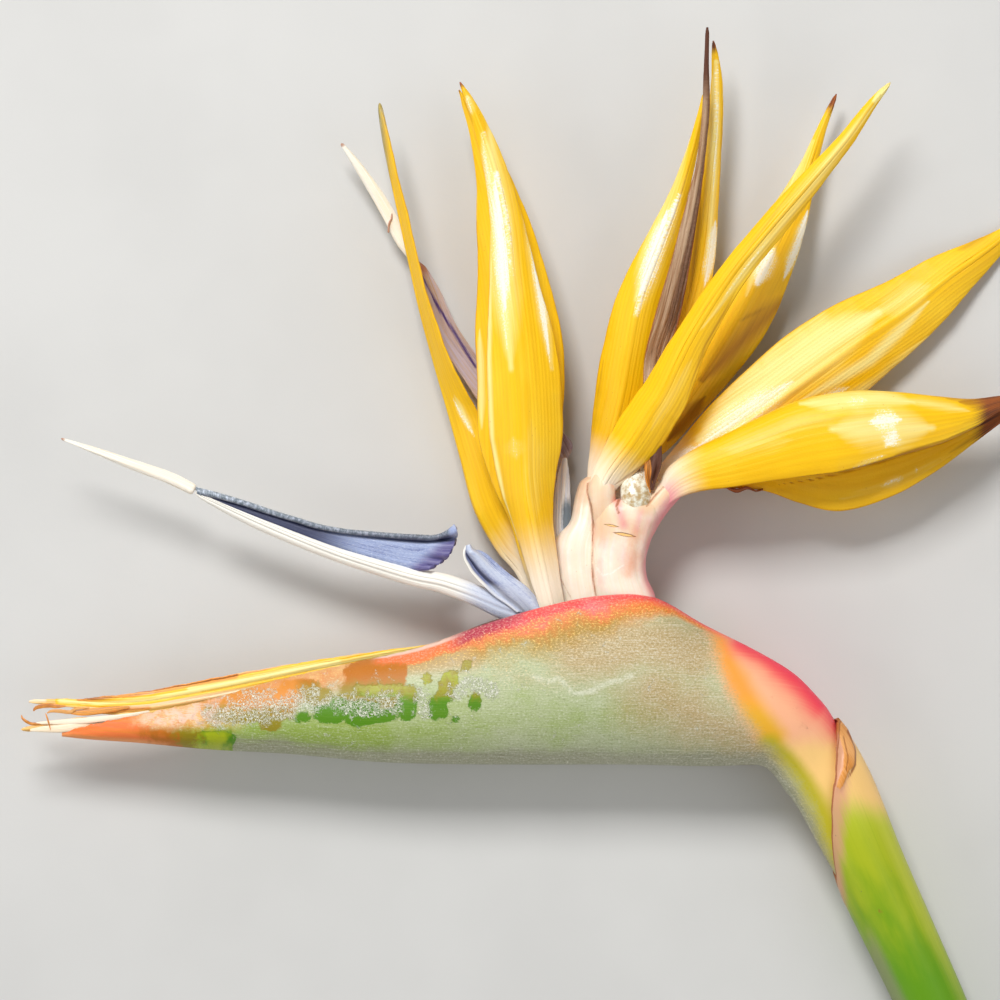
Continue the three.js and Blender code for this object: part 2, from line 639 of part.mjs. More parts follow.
// The slit along the top of the spathe, as a slab that stands between the two margins
function slit(to, count) {
  const sections = [];
  for (let i = 0; i <= count; i++) {
    const [keelX, keelY, marginX, marginY, , gap] = spline(SPATHE, to * i / count);
    const keel = new THREE.Vector2(keelX, keelY);
    const margin = new THREE.Vector2(marginX, marginY);
    const [low, high] = SLIT_LEVELS.map((level) => keel.clone().lerp(margin, level));
    const half = Math.max(gap, THINNEST);
    sections.push([
      new THREE.Vector3(low.x, low.y, MID_HEIGHT + half),
      new THREE.Vector3(low.x, low.y, MID_HEIGHT - half),
      new THREE.Vector3(high.x, high.y, MID_HEIGHT - half),
      new THREE.Vector3(high.x, high.y, MID_HEIGHT + half),
    ]);
  }
  return new LoftGeometry(sections, { capStart: true, capEnd: true });
}

// The green sheath round the stem: its mouth is cut slantwise, highest on the outer side.
function sheathLoft({ sides, along }) {
  const sections = [];
  for (let i = 0; i <= along; i++) {
    const ring = [];
    for (let k = 0; k < sides; k++) {
      const angle = 2 * Math.PI * k / sides;
      const outer = ((1 - Math.cos(angle)) / 2) ** MOUTH_SLANT;
      const mouth = THREE.MathUtils.lerp(MOUTH_INNER, MOUTH_OUTER, outer);
      const share = mouth * (i / along) ** MOUTH_CROWDING;
      const { point, side, up } = frameAt(STEM, share);
      const radius = spline(STEM, share)[5];
      ring.push(point.addScaledVector(side, radius * Math.cos(angle))
        .addScaledVector(up, radius * Math.sin(angle)));
    }
    sections.push(ring);
  }
  return new LoftGeometry(sections, { capStart: true, capEnd: true });
}

// Putting the flower together

const flower = new THREE.Group();

function add(name, geometry, finish) {
  const [color, roughness] = FINISHES[finish];
  const mesh = new THREE.Mesh(
    geometry, new THREE.MeshStandardMaterial({ color, roughness, metalness: 0 }));
  mesh.name = name;
  flower.add(mesh);
}

const grownStem = rod(STEM, { ...STEM_SHAPE, grow: CLEARANCE });
const neckSleeve = spatheLoft(...SLEEVE, SLEEVE_SECTIONS, { grow: CLEARANCE });
const hollow = spatheLoft(...HOLLOW, HOLLOW_SECTIONS, { inset: 1 });
const spathe = spatheLoft(0, 1, SPATHE_SECTIONS);

add('peduncle', rod(STEM, STEM_SHAPE), 'stem');
add('stem_sheath', cut(sheathLoft(SHEATH_SHAPE), [grownStem, neckSleeve]), 'sheath');
add('spathe', cut(spathe, [hollow, slit(SLIT_END, SLIT_SECTIONS), grownStem]), 'spathe');

for (const [name, stations] of Object.entries(INNER_BRACTS)) {
  add(name, thicken(bladeSurface(stations), BRACT), 'bract');
}

// Sepals and petals are seated in the base of their floret, whose letter their name holds
const socketsOf = { floret_a_base: [], floret_b_base: [], floret_c_base: [] };

function addSeated(name, surface, shape, finish, share = SOCKET_SHARE) {
  const [, floret] = name.match(/_([abc])/);
  const root = { reach: share, along: ROOT_SECTIONS, grow: CLEARANCE };
  add(name, thicken(surface, shape), finish);
  socketsOf[`floret_${floret}_base`].push(thicken(surface, { ...shape, ...root }));
}

for (const [name, stations] of Object.entries(SEPALS)) {
  addSeated(name, bladeSurface(stations), SEPAL, 'sepal');
}
addSeated('sepal_c3', boatSurface(BOAT_SEPAL), BOAT, 'sepal');
addSeated('arrow_petal_a', boatSurface(ARROW_A), ARROW, 'arrow');

for (const [name, { finish, share, stations }] of Object.entries(PETALS)) {
  addSeated(name, bladeSurface(stations), PETAL, finish, share);
}

for (const [name, stations] of Object.entries(STYLES)) {
  add(name, rod(stations, STYLE_SHAPE), 'style');
}

add('spent_bud', rod(SPENT_BUD, BUD_SHAPE), 'bud');
socketsOf.floret_c_base.push(rod(SPENT_BUD, { ...BUD_SHAPE, grow: CLEARANCE }));

// The middle floret gives way to the one in front of it
socketsOf.floret_b_base.push(
  rod(COLUMNS.floret_c_base, { ...COLUMN_SHAPE, grow: CLEARANCE }));

for (const [name, stations] of Object.entries(COLUMNS)) {
  const column = rod(stations, COLUMN_SHAPE);
  add(name, cut(column, [grownStem, ...socketsOf[name]]), 'base');
}

export default flower;
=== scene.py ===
"""A cut bird of paradise flower, lying on its side and seen from straight above.

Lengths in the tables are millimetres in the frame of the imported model: X runs from the beak to
the stem, Y from the keel of the spathe to the tips of the flowers, and Z up. Where a marking is
placed by the photograph it is written as a pixel, and place() turns pixels into millimetres.
"""

import bpy
import numpy as np
from bpy.props import FloatProperty, FloatVectorProperty, IntProperty, PointerProperty
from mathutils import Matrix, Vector


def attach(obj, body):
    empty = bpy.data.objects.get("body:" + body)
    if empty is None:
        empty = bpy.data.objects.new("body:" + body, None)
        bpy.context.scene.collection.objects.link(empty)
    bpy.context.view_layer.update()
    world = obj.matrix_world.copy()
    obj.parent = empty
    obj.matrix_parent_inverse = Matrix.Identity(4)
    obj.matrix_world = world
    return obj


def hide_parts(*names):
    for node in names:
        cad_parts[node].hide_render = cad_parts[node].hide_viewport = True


bl_info = {
    "name": "Bird of Paradise Flower",
    "version": (1, 0, 0),
    "blender": (4, 5, 0),
    "location": "3D View > Sidebar > Flower",
    "description": "Builds the spathe, stem, florets, sepals and petals of a cut flower",
    "category": "Add Mesh",
}

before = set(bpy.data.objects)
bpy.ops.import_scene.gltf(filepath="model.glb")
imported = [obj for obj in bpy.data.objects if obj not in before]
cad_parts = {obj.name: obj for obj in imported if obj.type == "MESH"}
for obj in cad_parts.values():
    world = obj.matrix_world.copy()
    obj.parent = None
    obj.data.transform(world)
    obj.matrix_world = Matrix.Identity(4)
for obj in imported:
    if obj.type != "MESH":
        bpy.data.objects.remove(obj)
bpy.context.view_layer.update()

# A millimetre in metres, the millimetres of a pixel, the pixels of the picture and of its origin
MM = 0.001
MM_PER_PIXEL = 0.2
PICTURE_PIXELS = 1000
ORIGIN_PIXEL = np.array([600.0, 690.0])

# Height of the middle plane in mm, and the x from which it sinks towards the stem, and how steeply
MID_HEIGHT = 12.4
BEND_X = 34.0
STEM_SLOPE = 0.09

# How soft the fold of a blade is, the share of its length where its tip starts, the same for the
# dried petal, and how far the sides of the boat-shaped sepal turn in, in radians
FOLD_SOFTNESS = 0.35
TIP_SHARE = 0.955
DRIED_TIP_SHARE = 0.84
MARGIN_CURL = 2.1

# The spathe: powers of its sides before and after the neck, shares of the length where the neck
# starts and ends, power and share of its rim, least half size in mm, and where its slit ends
SIDE_FULLNESS = (1.25, 0.95)
NECK_START = (0.6, 0.8)
RIM_POWER = 6
RIM_SHARE = 0.1
THINNEST = 0.3
SLIT_END = 0.545

# The sheath: shares of the stem where its mouth is on the inner and the outer side, the power of
# the slant between them, and the length of the stem in mm
MOUTH_INNER = 0.385
MOUTH_OUTER = 0.56
MOUTH_SLANT = 0.68
STEM_LENGTH = 190.0

# Sepals as stations of the midrib, root to tip: x, y, z, half width, turn and fold in degrees
SEPALS = {
    "sepal_a1": [
        (-12.6, 16.6, 9, 2.2, -55, -30), (-16.4, 23.6, 8.4, 3.2, -52, -38),
        (-20.4, 28.6, 8.2, 5.4, -52, -38), (-24.5, 36.4, 8.4, 7, -52, -38),
        (-27.3, 46.4, 8.4, 6.6, -60, -30), (-29.4, 54, 8.4, 6.6, -64, -26),
        (-32.4, 64.4, 9.2, 6.4, -76, -13), (-35.8, 77, 10.4, 5.2, -80, -9),
        (-39.3, 93, 11.4, 4, -81, -7), (-42.5, 108, 12, 2.8, -82, -6),
        (-44.1, 117.4, 12.4, 0.4, -82, -6),
    ],
    "sepal_a2": [
        (-8.8, 14, 18, 2.6, 0, -30), (-10.6, 21, 18.2, 3.4, 0, -32),
        (-13.2, 33.6, 19.2, 4.9, 4, -30), (-14.4, 42, 20.2, 6.5, 4, -26),
        (-14.6, 51, 21, 8, 3, -22), (-15.1, 61, 21.4, 7.9, 2, -20),
        (-16, 71, 21.2, 7.1, 0, -20), (-17.4, 82, 20.4, 5.3, 0, -22),
        (-18.6, 93, 19.4, 3.8, 0, -24), (-21, 104, 18, 2.65, 0, -26),
        (-24.4, 114, 16.6, 1.5, 0, -28), (-28, 121.4, 15.6, 0.4, 0, -28),
    ],
    "sepal_a3": [
        (-10, 14.4, 11.8, 2.2, 0, -20), (-11.4, 20, 12.6, 2.5, 4, -22),
        (-12.8, 27, 13.6, 3.3, 8, -22), (-14, 35.4, 14.6, 4.6, 12, -20),
        (-15.2, 42.4, 15.2, 6.6, 12, -18), (-15.8, 51, 15.4, 8.6, 8, -16),
        (-15.6, 62, 15.4, 9.2, 4, -16), (-16.4, 72.4, 15.2, 8.9, 2, -16),
        (-17.8, 84, 14.8, 7.2, 0, -18), (-19.6, 94, 14.2, 5.6, 0, -20),
        (-21.6, 103, 13.6, 3.7, 0, -22), (-25, 113, 13, 1.7, 0, -24),
        (-28.2, 120, 12.8, 0.4, 0, -24),
    ],
    "sepal_b1": [
        (-0.6, 39.4, 11, 2, 0, -20), (0.2, 44.4, 11.2, 3, 0, -22),
        (2.4, 51, 11.8, 4.7, 0, -22), (4.4, 59, 12.6, 5.8, 0, -20),
        (5.8, 67, 13.2, 5.9, 0, -20), (8, 78, 13.6, 5, 0, -20),
        (12.2, 89.4, 13.8, 3.6, 0, -20), (15.4, 98, 13.6, 2.2, 0, -20),
        (18, 106.4, 13.4, 1.4, 0, -20), (20, 114.4, 13.2, 0.8, 0, -20),
        (20.9, 119.4, 13, 0.4, 0, -20),
    ],
    "sepal_b2": [
        (1, 39.6, 8.6, 1.8, 0, -16), (3.2, 45.4, 8.6, 2.6, 0, -18),
        (8, 54, 8.6, 3.6, 0, -20), (12.4, 63, 8.8, 3.9, 0, -20),
        (16.4, 73, 9.2, 3.9, 0, -22), (19.2, 82, 9.6, 3.7, 0, -24),
        (20.6, 90, 9.9, 3.3, 0, -26), (21.4, 98, 10.1, 2.8, 0, -28),
        (22.4, 107, 10.3, 2.3, 0, -28), (23.2, 116, 10.4, 1.8, 0, -28),
        (23.4, 123, 10.4, 1.2, 0, -28), (22.7, 130, 10.4, 0.4, 0, -28),
    ],
    "sepal_b3": [
        (2.4, 39.2, 6, 1.9, 0, -15), (7.2, 45.6, 5.8, 2.6, 0, -18),
        (12.4, 51.6, 6, 3.8, 0, -20), (18, 58.8, 6.8, 4.4, 0, -20),
        (23, 66, 7.8, 5.6, 0, -20), (28.4, 75, 8.6, 6.5, 0, -20),
        (33.6, 85.6, 8.8, 5.9, 0, -20), (38, 95, 8.2, 4.2, 0, -20),
        (41.6, 104, 7.2, 2.2, 0, -20), (44.4, 112, 6.2, 1.1, 0, -20),
        (47.6, 119.6, 5.2, 0.4, 0, -20),
    ],
    "sepal_c1": [
        (0.6, 36.4, 16.4, 2.4, 0, -25), (0.9, 41.6, 17.8, 3.3, 0, -25),
        (6.6, 49.6, 19.6, 5.4, 0, -22), (10.4, 55.6, 20.6, 5.4, -5, -22),
        (12.8, 59.4, 21, 5.1, -6, -22), (18, 70, 21.6, 4, -8, -22),
        (25.6, 82, 21.8, 3.2, -6, -22), (33, 91.2, 21.4, 3.1, -4, -22),
        (40.6, 100, 20.6, 2.6, 0, -22), (48.6, 109.4, 19.4, 1.8, 0, -22),
        (54, 116.8, 18.4, 1.1, 0, -20), (57.8, 121.2, 17.8, 0.4, 0, -20),
    ],
    "sepal_c2": [
        (10, 38.6, 10.6, 2.2, 0, -15), (16, 44.4, 11, 3.6, 4, -15),
        (25, 50.4, 11, 6.9, 8, -15), (34.2, 56.7, 10.4, 8.8, 8, -15),
        (43.2, 63.3, 9.4, 9.8, 7, -15), (52.2, 69.7, 8.2, 9.2, 5, -15),
        (61.2, 75.7, 6.6, 7.5, 3, -15), (70, 82.6, 4.8, 5.5, 0, -15),
        (80, 89.8, 2.2, 2.5, 0, -15), (86, 95.4, 0.8, 0.4, 0, -15),
    ],
}

# The boat-shaped sepal: keel x, y, z, near margin x, y, far margin x, y, swell
BOAT_SEPAL = [
    (10.9, 36.4, 14.6, 11.3, 34.8, 11.3, 34.6, 1.4), (13.4, 43.2, 15, 15.2, 38.2, 15.2, 38, 2),
    (18, 47, 15.4, 19.4, 39.8, 19.4, 39.6, 2.6), (24.4, 50.2, 15.8, 25.8, 40.6, 25.8, 40.4, 3.4),
    (32, 54, 16, 34, 41.8, 33, 39.8, 4.2), (40, 57.4, 16, 41.6, 42.8, 40, 37.4, 4.8),
    (50, 59.2, 15.8, 49.6, 44, 48.4, 35.8, 5), (59, 59, 15.2, 59.4, 46.8, 58.6, 38.8, 4.4),
    (66.8, 58.2, 14.2, 67.6, 49.2, 67, 43.6, 3.4), (74, 57.6, 13, 74.6, 52.4, 74.4, 49, 2.2),
    (80, 58.2, 11.8, 80, 55.8, 80, 53.2, 1.2), (86, 58.6, 10.8, 86, 57.6, 86, 57.2, 0.7),
]

# Petals, written as the sepals are
PETALS = {
    "arrow_petal_b": [
        (-6.4, 22, 8.6, 1.8, 0, 16), (-8.8, 33, 6.8, 1.9, 0, 16), (-10.6, 41, 5.6, 2, 0, 16),
        (-12.4, 45.4, 4.8, 8, 0, 10), (-16, 51.6, 4.2, 5.2, 0, 14), (-21, 58.6, 3.8, 3.6, 0, 18),
        (-26.8, 66, 3.6, 2.7, 0, 22), (-31, 72.4, 3.6, 2.5, 0, 22), (-34, 79.8, 4, 2, 0, 22),
        (-36.8, 86.2, 4.2, 0.9, 0, 16),
    ],
    "arrow_petal_c": [
        (5, 34.4, 11.6, 1.2, 0, -25), (7.2, 43, 12.2, 1.4, 0, -25), (9.4, 50, 13.6, 1.6, 0, -25),
        (10.4, 57, 15.2, 1.9, 0, -25), (11, 66, 15.4, 2.4, 0, -25), (13.6, 75, 15.8, 2.8, 0, -25),
        (16.2, 85.6, 15.9, 2.2, 0, -25), (18.4, 96, 15.7, 1.6, 0, -25),
        (20.2, 106, 15.3, 0.9, 0, -20), (21.2, 116, 15, 0.8, 0, -20),
        (21.3, 124, 14.8, 0.7, 0, -20), (21.4, 132.4, 14.6, 0.4, 0, -20),
    ],
    "small_petal_b": [
        (-6.6, 25, 11.4, 1.5, 0, -16), (-7.5, 31.6, 10.9, 1.8, 0, -18), (-7.5, 37, 10.3, 1.8, 0, -18),
        (-7.3, 42.6, 10, 1.2, 0, -18), (-7, 46.6, 10, 0.4, 0, -18),
    ],
}

# Styles: x, y, z, level radius, upright radius
STYLES = {
    "style_a": [
        (-80.95, 39.9, 13.7, 1.15, 1), (-86, 42.4, 13.8, 1.2, 1), (-94.2, 45.4, 14, 1, 0.9),
        (-101, 47.9, 14.2, 0.65, 0.6), (-107.7, 50.3, 14.4, 0.2, 0.2),
    ],
    "style_b": [
        (-37.05, 86.55, 4.3, 1, 0.7), (-39.6, 90, 4.5, 1.3, 0.8), (-42.2, 95, 4.8, 1.35, 0.8),
        (-45.1, 100, 5.3, 1.2, 0.8), (-48.6, 105.2, 6, 0.85, 0.65), (-51.9, 109.6, 6.8, 0.3, 0.3),
    ],
}

# Strips of the inner bract, written as the sepals are
INNER_BRACTS = {
    "inner_bract_a": [
        (-34, 8.2, 12.4, 0.9, 0, 0), (-50, 5.2, 12.3, 1.8, 0, 0), (-69, 1.2, 12.2, 2.7, 0, 0),
        (-80, -1, 12.1, 2.8, 0, 0), (-91, -2.8, 12.1, 2.5, 0, 0), (-99.5, -3, 12.2, 1.7, 0, 0),
        (-104.5, -2.7, 12.3, 0.9, 0, 0), (-109.5, -2.4, 12.4, 0.6, 0, 0), (-114.2, -2.3, 12.4, 0.3, 0, 0),
    ],
    "inner_bract_b": [
        (-84, -7, 12.4, 1.4, 0, 0), (-94, -6.9, 12.4, 1.6, 0, 0), (-102, -6.8, 12.4, 1.4, 0, 0),
        (-107.6, -7, 12.4, 1.1, 0, 0), (-111.5, -7.5, 12.4, 0.8, 0, 0), (-115.8, -7.9, 12.5, 0.3, 0, 0),
    ],
}

# Columns that carry the florets: left edge, right edge, y, middle height, half depth
COLUMNS = {
    "floret_a_base": [
        (-7.2, -3.6, -1.4, 12.4, 3.4), (-9.3, -4.3, 5, 12.5, 4.6), (-12.2, -5.4, 11.4, 12.8, 5.8),
        (-14.2, -7, 14.6, 12.6, 5.6), (-13.2, -8.4, 16.2, 12.2, 4.2), (-12.4, -9.4, 17.2, 12, 2.6),
    ],
    "floret_b_base": [
        (-3.4, 0.8, -1.4, 12.2, 3.4), (-4.8, 0.8, 5, 11.8, 4.2), (-6.4, 0.8, 12, 11.4, 4.8),
        (-8, 0.8, 18, 11, 4.8), (-9.4, 0.8, 22.4, 10.8, 4.7), (-9.9, 0.6, 27, 10.6, 4.5),
        (-8.9, 0.6, 30.4, 10.2, 4.4), (-6.1, 0.4, 33.6, 9.8, 4.2), (-5.3, 0.8, 37, 9, 3.9),
        (-4.7, 1.6, 39.6, 8.8, 3.8), (-3.8, 2, 41.8, 8.7, 3.6), (-1.6, 2.2, 43.6, 8.6, 2.6),
    ],
    "floret_c_base": [
        (1.8, 6.6, -1.4, 12.4, 3.6), (1.3, 8.3, 5, 12.6, 4.6), (0.1, 10.1, 12, 13, 5.4),
        (-0.9, 11.2, 18, 13.2, 5.6), (-1.5, 9.5, 22.4, 13.4, 5.4), (-1.6, 9.2, 25.8, 13.6, 5.3),
        (-1.5, 9.7, 28.4, 13.8, 5.2), (-1.2, 11, 32, 14.1, 5), (-1.2, 12.2, 34.4, 14.3, 4.9),
        (-0.6, 12.6, 36.6, 14.5, 4.3), (0.6, 11.8, 38.4, 14.6, 3),
    ],
}

# Roots of two sepals on the last column: x, y, z, level radius, upright radius
SHOULDERS = {
    "upper_root": [
        (1.6, 30, 12.4, 1.6, 3.4), (1.2, 33.2, 13.4, 2.3, 3.1), (0.6, 36.4, 15, 2.65, 2.9),
        (0.4, 39.6, 15.9, 2.75, 2.6), (0.9, 42.4, 15.9, 2.6, 2), (1.9, 45.2, 16.2, 2.1, 1.2),
    ],
    "lower_root": [
        (7, 28.4, 12.2, 1.6, 4), (8.4, 31.6, 12.8, 2.3, 4.2), (9.7, 34.8, 13.7, 2.7, 4),
        (11.7, 37.8, 14.3, 2.8, 3.5), (14.4, 40.6, 14.1, 2.7, 2.7), (17.6, 42.8, 13.8, 2.2, 1.6),
    ],
}

# Bruises, cracks and lines of the bases, by pixels, half width and strength
BASE_PAINT = {
    "pink": [
        ([(680, 497), (669, 506), (662, 519), (656, 534), (651, 548), (648, 565), (650, 582),
          (657, 597)], 13, 1),
        ([(650, 520), (640, 560)], 16, 0.4), ([(616, 500), (623, 525)], 9, 0.7),
        ([(605, 545), (636, 560)], 26, 0.35), ([(640, 512), (636, 530)], 9, 0.5),
        ([(690, 498), (668, 512)], 7, 0.8), ([(600, 560), (602, 590)], 10, 0.3),
    ],
    "bruise": [([(634, 536), (632, 556), (629, 572)], 17, 0.65), ([(612, 484), (614, 500)], 6, 0.7)],
    "tan": [
        ([(598, 470), (602, 500), (606, 530)], 26, 0.9), ([(612, 440), (600, 480)], 20, 0.9),
        ([(645, 508), (700, 466)], 20, 1), ([(655, 560), (650, 590)], 8, 0.7),
        ([(625, 535), (640, 560)], 20, 0.5), ([(600, 510), (640, 530)], 34, 0.7),
        ([(560, 480), (584, 530)], 20, 0.6),
    ],
    "line": [
        ([(617, 486), (616, 493), (619, 499), (616, 506), (618, 513)], 4, 1),
        ([(588, 480), (587, 492), (591, 506), (593, 522), (592.5, 545), (592, 562), (593, 580),
          (596, 597)], 3.2, 0.85),
        ([(646, 506), (656, 494), (670, 480)], 4, 0.8),
        ([(553, 538), (554, 558), (560, 578), (572, 600)], 3.5, 0.7),
    ],
    "flake": [
        ([(596, 567), (602, 575), (611, 573), (618, 568), (623, 565)], 3, 0.75),
        ([(594, 548), (597, 585)], 4, 0.6),
    ],
}

# Two cracks in the last column: middle x, y, half length and half width in mm, and their slant
CRACKS = [(4.8, 31.1, 2.5, 0.44), (2.2, 32.9, 1.7, 0.26)]
CRACK_SLANT = 0.18

# The stub of the spent bud: x, y, z, level radius, upright radius
SPENT_BUD = [
    (7, 34, 15.8, 1.8, 1.4), (7, 37.2, 16.8, 2.8, 2), (7.2, 40.8, 16, 3.1, 1.9),
    (7.6, 43.4, 14.7, 2.3, 1.3), (7.9, 44.6, 14.3, 1.4, 0.8),
]

# The stem from its cut end: x, y, z, the two radii, and the radius of the sheath round it
STEM = [
    (84.4, -106.2, 6.8, 5.6, 5.6, 6.8), (75, -84, 7.8, 5.6, 5.6, 6.8),
    (67.2, -64.6, 8.8, 5.5, 5.5, 6.9), (59.6, -48, 9.8, 5.4, 5.4, 7.2),
    (53.4, -34.8, 10.6, 5.3, 5.3, 7.6), (45.8, -17.8, 11.3, 5.4, 5.4, 8.1),
    (37.6, -7.6, 12, 6.2, 5.9, 8.8), (27, -3, 12.4, 5.6, 5.4, 8.8),
    (14, -2.2, 12.4, 5, 5, 8.8), (0, -2.6, 12.4, 4.4, 4.4, 8.8),
    (-8, -3, 12.4, 2.6, 2.8, 8.8),
]

# The spathe, beak to neck: keel x, y, margin x, y, half depth, half gap of the slit, wall
SPATHE = [
    (-107.6, -9.3, -107.6, -8.5, 0.9, 0.3, 0.3), (-102, -9.9, -102, -7, 2, 0.9, 0.8),
    (-92, -10.6, -90.8, -4.6, 3.6, 1.2, 0.8), (-78, -11.9, -79, -2.1, 5.6, 1.3, 1),
    (-62, -12.8, -66, 1.7, 7.6, 1.4, 1.2), (-46, -14.3, -51, 5.2, 9.4, 1.5, 1.3),
    (-32, -14.8, -36, 8.6, 11, 2.4, 1.3), (-18, -14.9, -22, 13.6, 12.4, 5.4, 1.3),
    (-6, -14.9, -10, 17.1, 13.6, 7.2, 1.3), (3, -14.9, 0.4, 19, 13.8, 7.2, 1.3),
    (11, -15, 10.6, 18.6, 13.6, 5, 1.3), (18, -15.2, 21, 13, 12.2, 0.4, 1.3),
    (24, -15.2, 31, 8, 11, 0.4, 1.3), (29.2, -15, 38.4, 3.6, 10, 0.4, 1.3),
    (32.4, -15.2, 43, -0.8, 9.2, 0.4, 1.3), (34.6, -16.8, 46.2, -4.8, 8.2, 0.4, 1.3),
    (36.8, -19.8, 48.9, -10.4, 7.2, 0.4, 1.3), (39.6, -23.6, 52, -16.6, 6.9, 0.4, 1.2),
    (44.4, -32.2, 56.6, -27.2, 6.6, 0.4, 0.9), (49.8, -41.6, 59.8, -37.2, 6.3, 0.4, 0.9),
]

# Painted highlights along the sepals, by the photograph: pixels of its line, half width, strength
PAINTED_HIGHLIGHTS = {
    "sepal_a1": [
        ([(393, 215), (405, 262), (421, 320)], 4, 0.6), ([(455, 398), (465, 418), (475, 436)], 4, 0.75),
        ([(500, 545), (512, 570)], 5, 0.4),
    ],
    "sepal_a2": [
        ([(496, 175), (502, 245), (506, 310)], 15, 1), ([(483, 135), (497, 230), (508, 350)], 16, 0.6),
        ([(530, 235), (541, 305), (548, 355)], 8, 1),
        ([(521, 200), (533, 257), (541, 305), (550, 370)], 11, 0.55),
        ([(514, 438), (517, 458)], 16, 0.35), ([(467, 96), (474, 116)], 5, 0.6),
    ],
    "sepal_a3": [([(472, 150), (477, 220)], 4, 0.5)],
    "sepal_b1": [
        ([(668, 212), (653, 256), (640, 296)], 14, 1),
        ([(680, 195), (655, 250), (636, 315)], 17, 0.65),
    ],
    "sepal_b2": [
        ([(717, 60), (716, 130), (712, 200)], 4, 0.6),
        ([(715, 220), (711, 255), (704, 285)], 10, 1),
    ],
    "sepal_b3": [
        ([(808, 210), (800, 240), (784, 278)], 10, 1), ([(774, 245), (757, 285)], 14, 0.95),
        ([(820, 125), (796, 168)], 4, 0.5),
    ],
    "sepal_c1": [([(768, 236), (722, 298)], 5, 0.45)],
    "sepal_c2": [
        ([(724, 432), (750, 405), (772, 390)], 18, 0.75), ([(850, 386), (815, 400)], 9, 0.7),
        ([(700, 446), (740, 415), (792, 382)], 24, 0.75), ([(660, 470), (700, 446)], 11, 0.9),
    ],
    "sepal_c3": [
        ([(868, 423), (898, 420)], 18, 0.9), ([(894, 430), (884, 446)], 17, 0.85),
        ([(845, 404), (865, 402)], 14, 0.5), ([(850, 468), (885, 454)], 5, 0.5),
        ([(882, 487), (905, 477)], 7, 0.55), ([(915, 471), (919, 470)], 5, 0.6),
    ],
}

# Wide paler bands, partly the skin's own paler tone and partly painted highlight, written the same way
PALE_TONE_AND_HIGHLIGHT = {
    "sepal_a1": [([(456, 395), (474, 433)], 6, 0.7), ([(376, 96), (382, 138)], 7, 0.8)],
    "sepal_a2": [
        ([(488, 120), (500, 240), (512, 370)], 26, 0.7), ([(524, 200), (552, 370)], 12, 0.55),
        ([(492, 262), (489, 360), (492, 440), (505, 500), (516, 532)], 5, 1),
        ([(530, 420), (535, 520)], 22, 0.3),
    ],
    "sepal_a3": [([(480, 330), (482, 430)], 8, 0.8)],
    "sepal_b1": [
        ([(690, 140), (655, 235), (636, 300)], 17, 0.65), ([(688, 220), (664, 330)], 6, 0.6),
    ],
    "sepal_b2": [([(716, 60), (713, 180), (706, 280)], 9, 0.7)],
    "sepal_b3": [([(815, 140), (775, 215), (748, 295)], 18, 0.65)],
    "sepal_c1": [
        ([(880, 95), (820, 175), (760, 250), (700, 330)], 9, 0.6), ([(690, 360), (650, 430)], 14, 0.35),
        ([(889, 84), (872, 104)], 6, 1),
    ],
    "sepal_c2": [
        ([(700, 440), (760, 390), (830, 340), (880, 312)], 42, 0.9), ([(880, 312), (930, 285)], 28, 0.5),
        ([(800, 400), (870, 360), (930, 300)], 11, 0.9), ([(810, 414), (880, 382), (930, 336)], 14, 0.6),
    ],
    "sepal_c3": [
        ([(800, 406), (880, 400), (912, 404)], 16, 0.85), ([(900, 401), (968, 412)], 8, 0.6),
        ([(830, 430), (930, 428)], 32, 0.8),
        ([(720, 450), (790, 440)], 22, 0.35), ([(840, 500), (900, 482), (950, 455)], 14, 0.3),
    ],
}

# Darker bands, partly painted shade and shadow, such as one sepal's shadow across the next, and partly the
# skin's own amber, olive or rusty tone, written the same way
PAINTED_SHADE_AND_AMBER = {
    "sepal_a1": [
        ([(466, 408), (480, 455), (500, 520)], 7, 0.3),
        ([(398, 225), (415, 300)], 5, 0.4),
    ],
    "sepal_a2": [
        ([(497, 430), (508, 500), (528, 570)], 8, 0.35), ([(560, 370), (565, 430), (558, 490)], 7, 0.6),
        ([(520, 190), (545, 270), (560, 360)], 5, 0.4),
    ],
    "sepal_a3": [([(464, 115), (474, 200), (477, 300)], 5, 0.8)],
    "sepal_b1": [([(604, 360), (594, 430), (592, 460)], 6, 0.4)],
    "sepal_b2": [([(703, 190), (697, 250), (690, 300)], 4, 0.6), ([(722, 100), (719, 230)], 3, 0.5)],
    "sepal_b3": [
        ([(702, 380), (742, 340), (794, 290)], 24, 0.72), ([(668, 440), (705, 396)], 14, 0.9),
        ([(770, 305), (740, 320)], 8, 0.6),
    ],
    "sepal_c1": [
        ([(735, 290), (704, 345), (684, 400)], 4, 0.6), ([(800, 180), (740, 262), (690, 330)], 3, 0.45),
        ([(650, 455), (690, 385)], 6, 0.4),
    ],
    "sepal_c2": [
        ([(745, 425), (800, 388), (850, 352)], 4, 0.5), ([(860, 392), (920, 352), (960, 300)], 8, 0.35),
        ([(960, 250), (1000, 228)], 12, 0.5),
    ],
    "sepal_c3": [
        ([(766, 492), (800, 488), (845, 484)], 10, 0.3), ([(700, 478), (760, 470)], 8, 0.3),
        ([(930, 399), (1002, 402)], 4, 0.5), ([(944, 401), (1002, 402)], 7, 0.6),
        ([(958, 404), (1002, 402)], 11, 0.85), ([(960, 424), (1002, 412)], 7, 0.4),
        ([(890, 456), (930, 446)], 5, 0.6), ([(945, 456), (1002, 420)], 4, 0.6),
    ],
}

